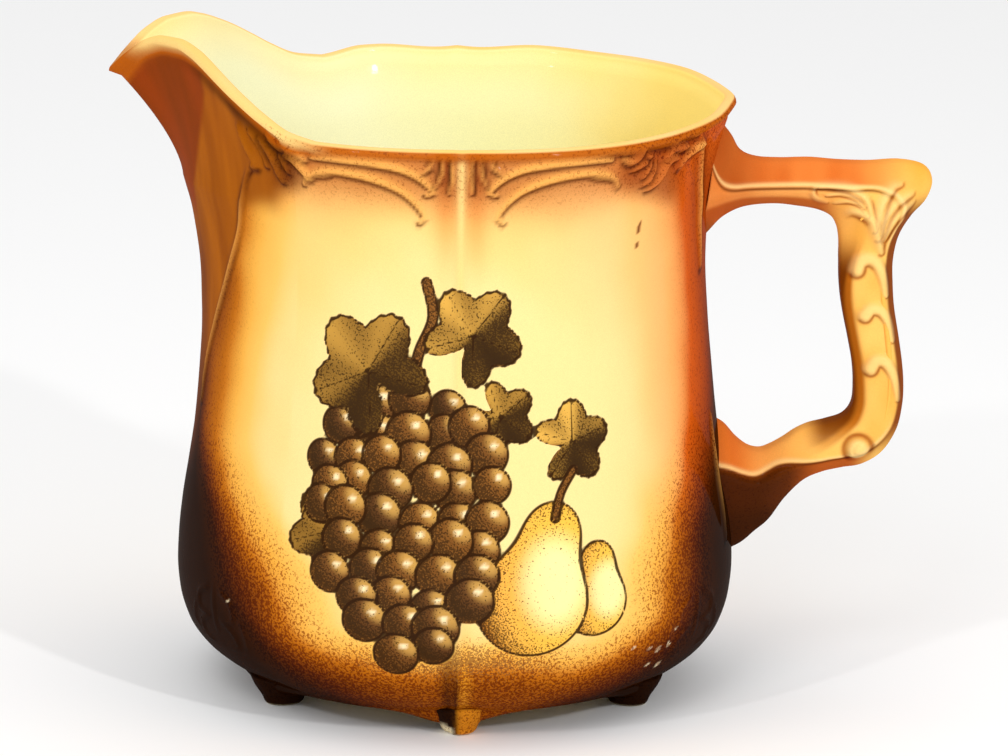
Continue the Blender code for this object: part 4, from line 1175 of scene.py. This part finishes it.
def print_over(tree, colour, place, grain):
    """Lays the transfer print: toned shapes, drawn lines, and stipple in the shade."""
    art = tree.attribute("print_paint", "Color")
    edge, line, shade, ground = [
        tree.attribute(name) for name in ("print_edge", "print_line", "print_shade", "ground_mist")
    ]
    stipple = grain(2100.0, 0.0)
    hatch = tree.add(
        "ShaderNodeTexWave",
        {"Vector": place, "Scale": 420.0, "Distortion": 2.5, "Detail": 1.0, "Detail Scale": 1.5},
        bands_direction="DIAGONAL",
    ).outputs["Fac"]
    dots = tree.between(tree.maths("SUBTRACT", stipple, tree.less(0.78, shade, 0.42)), -0.03, 0.05)
    rows = tree.maths("MULTIPLY", tree.between(hatch, 0.55, 0.85), tree.between(shade, 0.35, 0.75))
    inked = tree.maths("MAXIMUM", dots, tree.maths("MULTIPLY", rows, 0.7))
    art = tree.blend(tree.maths("MULTIPLY", inked, 0.80), art, INK)
    cover = tree.between(edge, 0.25, -0.20)
    colour = tree.blend(tree.maths("MULTIPLY", cover, 0.99), colour, art)
    drawn = tree.maths("MULTIPLY", tree.between(line, 0.62, 0.32), tree.between(edge, 0.5, 0.1))
    colour = tree.blend(tree.maths("MULTIPLY", drawn, 0.95), colour, INK)
    around = tree.between(edge, 0.2, 0.9)
    cast = tree.between(tree.maths("SUBTRACT", stipple, tree.less(0.80, ground, 0.45)), -0.02, 0.04)
    cast = tree.maths("MULTIPLY", tree.maths("MULTIPLY", cast, around), tree.between(ground, 0.02, 0.3))
    return tree.blend(tree.maths("MULTIPLY", cast, 0.7), colour, CAST_INK)


def geometry_tree(name):
    """An empty tree that takes a mesh in and gives one out."""
    group = bpy.data.node_groups.new(name, "GeometryNodeTree")
    group.interface.new_socket("Geometry", in_out="INPUT", socket_type="NodeSocketGeometry")
    group.interface.new_socket("Geometry", in_out="OUTPUT", socket_type="NodeSocketGeometry")
    return group


def named_input(group, name, kind, value=None):
    """A named size or material of the tree."""
    made = group.interface.new_socket(name, in_out="INPUT", socket_type=kind)
    if value is not None:
        made.default_value = value


def plain_mesh(made, group, values):
    """Runs the tree on the object once, and keeps the result as an ordinary mesh."""
    modifier = made.modifiers.new(group.name, "NODES")
    modifier.node_group = group
    for item in group.interface.items_tree:
        if item.item_type == "SOCKET" and item.in_out == "INPUT" and item.name in values:
            modifier[item.identifier] = values[item.name]
    bpy.context.view_layer.update()
    graph = bpy.context.evaluated_depsgraph_get()
    result = bpy.data.meshes.new_from_object(made.evaluated_get(graph))
    made.modifiers.clear()
    made.data = result
    return made


def finish_tree(tree, start, end, geometry):
    """Makes instances real and gives the result its glaze."""
    real = tree.add("GeometryNodeRealizeInstances", {0: geometry})
    glazed = {"Geometry": real.outputs[0], "Material": start.outputs["Glaze"]}
    tree.tree.links.new(tree.add("GeometryNodeSetMaterial", glazed).outputs[0], end.inputs[0])


def foot_ring_tree():
    """Sets one foot at every place round the ring, facing out."""
    group = geometry_tree("feet round the ring")
    named_input(group, "Foot Count", "NodeSocketInt", FOOT_COUNT)
    named_input(group, "Turn", "NodeSocketFloat", 0.0)
    named_input(group, "Glaze", "NodeSocketMaterial")
    tree = Tree(group)
    start, end = tree.add("NodeGroupInput"), tree.add("NodeGroupOutput")
    ring = tree.add("GeometryNodeMeshCircle", {"Vertices": start.outputs["Foot Count"], "Radius": 0.001})
    step = tree.add("ShaderNodeMath", {0: 2 * math.pi, 1: start.outputs["Foot Count"]}, operation="DIVIDE")
    index = tree.add("GeometryNodeInputIndex")
    turn = tree.add("ShaderNodeMath", {0: index.outputs[0], 1: step.outputs[0]}, operation="MULTIPLY")
    turn = tree.add("ShaderNodeMath", {0: turn.outputs[0], 1: start.outputs["Turn"]}, operation="ADD")
    spin = tree.add("ShaderNodeCombineXYZ", {2: turn.outputs[0]})
    middle = tree.add("GeometryNodeSetPosition", {"Geometry": ring.outputs[0], "Position": (0.0, 0.0, 0.0)})
    placed = tree.add(
        "GeometryNodeInstanceOnPoints",
        {"Points": middle.outputs[0], "Instance": start.outputs["Geometry"], "Rotation": spin.outputs[0]},
    )
    finish_tree(tree, start, end, placed.outputs[0])
    return group


def make_feet(glaze):
    """One foot is lofted at the ring's start, then set six times."""
    middle, reach = (FOOT_OUT + FOOT_IN) / 2, (FOOT_OUT - FOOT_IN) / 2
    count = FOOT_ROUND
    a = np.linspace(0, 2 * math.pi, count, endpoint=False)
    rows = [np.column_stack([
        middle + (reach + grow) * np.cos(a), (FOOT_HALF + grow) * np.sin(a), np.full(count, height),
    ]) for height, grow in FOOT_LEVELS]
    points = np.vstack(rows + [[[middle, 0, 0]], [[middle, 0, FOOT_LEVELS[-1][0]]]])
    faces = []
    for k in range(len(FOOT_LEVELS) - 1):
        faces += ring_quads(k * count, (k + 1) * count, count)
    last = (len(FOOT_LEVELS) - 1) * count
    faces += [((k + 1) % count, k, len(points) - 2) for k in range(count)]
    faces += [(last + k, last + (k + 1) % count, len(points) - 1) for k in range(count)]
    foot = mesh_object("feet", points, faces)
    values = {"Foot Count": FOOT_COUNT, "Turn": -math.pi / 2, "Glaze": glaze}
    feet = plain_mesh(foot, foot_ring_tree(), values)
    feet.data.transform(Matrix.Translation((AXIS_X * MM, 0, 0)))
    feet.data.shade_smooth()
    chip_and_paint_feet(feet.data)
    return feet


def chip_and_paint_feet(mesh):
    """Dark glaze on the feet with a painted highlight on the front foot's right half, worn at the edge they
    stand on; the front foot has lost a flake.
    """
    points = np.empty(len(mesh.vertices) * 3, np.float32)
    mesh.vertices.foreach_get("co", points)
    points = points.reshape(-1, 3) / MM
    x, y, z = points[:, 0] - AXIS_X, points[:, 1], points[:, 2]
    chip = np.clip(1 - np.hypot((x + 3.4) / 3.6, (z - 1.0) / 2.6), 0, 1) * (y < -57.0)
    points[:, 1] += 1.6 * ease(0.0, 0.5, chip)
    mesh.vertices.foreach_set("co", (points * MM).astype(np.float32).ravel())
    # A painted highlight on the front foot's right half, carrying on the rib's
    front = ease(20.0, 4.0, np.abs(x)) * (y < 0)
    black = np.tile(np.array(NEAR_BLACK), (len(x), 1))
    paint = mix(black, mix(AMBER, HONEY, 0.4), 0.9 * front * ease(-0.6, 1.6, x))
    paint = mix(paint, BARE_CLAY, 0.65 * ease(0.5, 0.0, z))
    paint = mix(paint, BARE_CLAY, ease(0.12, 0.32, chip))
    set_colour(mesh, "glaze_paint", paint)
    set_number(mesh, "spatter", np.full(len(mesh.vertices), 0.35))
    finish_plain(mesh)


def vine_tree():
    """Sweeps a tapering stem along every path."""
    group = geometry_tree("vine along paths")
    named_input(group, "Stem Radius", "NodeSocketFloat", VINE_RADIUS * MM)
    named_input(group, "Step", "NodeSocketFloat", VINE_STEP * MM)
    named_input(group, "Glaze", "NodeSocketMaterial")
    tree = Tree(group)
    start, end = tree.add("NodeGroupInput"), tree.add("NodeGroupOutput")
    curve = tree.add("GeometryNodeMeshToCurve", {"Mesh": start.outputs["Geometry"]})
    steps = {"Curve": curve.outputs[0], "Length": start.outputs["Step"]}
    even_curve = tree.add("GeometryNodeResampleCurve", steps, mode="LENGTH")
    along = tree.add("GeometryNodeSplineParameter").outputs["Factor"]
    arch = tree.maths("SINE", tree.maths("MULTIPLY", along, math.pi))
    thick = tree.maths("ADD", tree.maths("MULTIPLY", arch, 0.65), 0.35)
    size = tree.add("GeometryNodeSetCurveRadius", {"Curve": even_curve.outputs[0], "Radius": thick})
    section = {"Resolution": VINE_ROUND, "Radius": start.outputs["Stem Radius"]}
    ring = tree.add("GeometryNodeCurvePrimitiveCircle", section)
    swept = tree.add(
        "GeometryNodeCurveToMesh",
        {"Curve": size.outputs[0], "Profile Curve": ring.outputs["Curve"], "Scale": thick, "Fill Caps": True},
    )
    soft = tree.add("GeometryNodeSetShadeSmooth", {"Geometry": swept.outputs[0]})
    finish_tree(tree, start, end, soft.outputs[0])
    return group


def make_vine(glaze):
    """The vine and its curls, drawn on both faces of the handle's upright."""
    rows = handle_rows()
    points, edges = [], []
    for side in (-1, 1):
        for path in VINE_PATHS:
            smooth = smooth_path(path, 6 * len(path))
            start = len(points)
            for x, z in smooth:
                depth = half_depth_at(x, z, rows) - VINE_SUNK
                points.append((AXIS_X + x, side * depth, z))
            edges += [(start + k, start + k + 1) for k in range(len(smooth) - 1)]
    mesh = bpy.data.meshes.new("handle_vine")
    mesh.from_pydata((np.array(points) * MM).tolist(), edges, [])
    vine = bpy.data.objects.new("handle_vine", mesh)
    bpy.context.scene.collection.objects.link(vine)
    plain_mesh(vine, vine_tree(), {"Stem Radius": VINE_RADIUS * MM, "Step": VINE_STEP * MM, "Glaze": glaze})
    count = len(vine.data.vertices)
    set_colour(vine.data, "glaze_paint", np.tile(np.array(mix(GOLDEN, HONEY, 0.35)), (count, 1)))
    set_number(vine.data, "spatter", np.full(count, 0.05))
    finish_plain(vine.data)
    return vine


def plain_material(name, rgb, roughness):
    """One flat colour."""
    material = bpy.data.materials.new(name)
    material.use_nodes = True
    shader = material.node_tree.nodes["Principled BSDF"]
    shader.inputs["Base Color"].default_value = (*rgb, 1.0)
    shader.inputs["Roughness"].default_value = roughness
    return material


def make_floor():
    """The plain pale floor."""
    bpy.ops.mesh.primitive_plane_add(size=12.0, location=(0, 0, 0))
    floor = bpy.context.object
    floor.name = "floor"
    floor.data.materials.append(plain_material("pale floor", (0.93, 0.93, 0.93), 0.6))


def add_light(name, at, aim, width, height, power):
    """One rectangular lamp that faces the aim."""
    data = bpy.data.lights.new(name, "AREA")
    data.shape = "RECTANGLE"
    data.size, data.size_y = width, height
    data.energy = power
    light = bpy.data.objects.new(name, data)
    light.location = at
    light.rotation_euler = (Vector(aim) - Vector(at)).to_track_quat("-Z", "Y").to_euler()
    bpy.context.scene.collection.objects.link(light)


def light_studio():
    """A white room with two broad soft lamps, and two small ones that leave the highlights."""
    world = bpy.data.worlds.new("white room")
    bpy.context.scene.world = world
    world.use_nodes = True
    back = world.node_tree.nodes["Background"]
    back.inputs["Color"].default_value = (1.0, 1.0, 1.0, 1.0)
    tree = Tree(world.node_tree)
    ray = tree.add("ShaderNodeLightPath").outputs
    strength = tree.less(ROOM_LIGHT, ray["Is Glossy Ray"], MIRRORED_LESS)
    strength = tree.maths("ADD", strength, tree.maths("MULTIPLY", ray["Is Camera Ray"], SEEN_MORE))
    world.node_tree.links.new(strength, back.inputs["Strength"])
    for lamp in LAMPS:
        add_light(*lamp)


def place_camera():
    """The photograph's view, worked out from the rim, the feet and the outline."""
    turn, roll = math.radians(CAMERA_AZIMUTH), math.radians(CAMERA_ROLL)
    aim_x, aim_z = AXIS_X + CAMERA_AIM[0], CAMERA_AIM[1]
    at = Vector((
        aim_x + CAMERA_DISTANCE * math.sin(turn), -CAMERA_DISTANCE * math.cos(turn), CAMERA_HEIGHT,
    )) * MM
    ahead = (Vector((aim_x, 0, aim_z)) * MM - at).normalized()
    right = ahead.cross(Vector((0, 0, 1))).normalized()
    up = right.cross(ahead)
    c, s = math.cos(roll), math.sin(roll)
    right, up = right * c + up * s, up * c - right * s
    data = bpy.data.cameras.new("camera")
    data.sensor_width = SENSOR
    data.lens = FOCAL_PIXELS / PHOTO_WIDTH * SENSOR
    data.clip_start, data.clip_end = 0.05, 50.0
    camera = bpy.data.objects.new("camera", data)
    turned = Matrix((right, up, -ahead)).transposed().to_4x4()
    camera.matrix_world = Matrix.Translation(at) @ turned
    bpy.context.scene.collection.objects.link(camera)
    bpy.context.scene.camera = camera


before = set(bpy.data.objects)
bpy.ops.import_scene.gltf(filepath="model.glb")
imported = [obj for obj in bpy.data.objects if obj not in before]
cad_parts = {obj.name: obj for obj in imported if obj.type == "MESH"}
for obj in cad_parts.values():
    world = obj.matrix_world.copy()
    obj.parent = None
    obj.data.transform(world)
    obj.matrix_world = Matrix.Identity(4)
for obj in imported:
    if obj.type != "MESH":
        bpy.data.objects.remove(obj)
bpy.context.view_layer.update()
glaze = glaze_material()
body = make_body()
handle = make_handle()
feet = make_feet(glaze)
vine = make_vine(glaze)
for piece in (body, handle, feet, vine):
    if not piece.data.materials:
        piece.data.materials.append(glaze)
    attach(piece, "root")
    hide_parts("pitcher")
make_floor()
light_studio()
place_camera()
bpy.context.scene.view_settings.view_transform = "Standard"
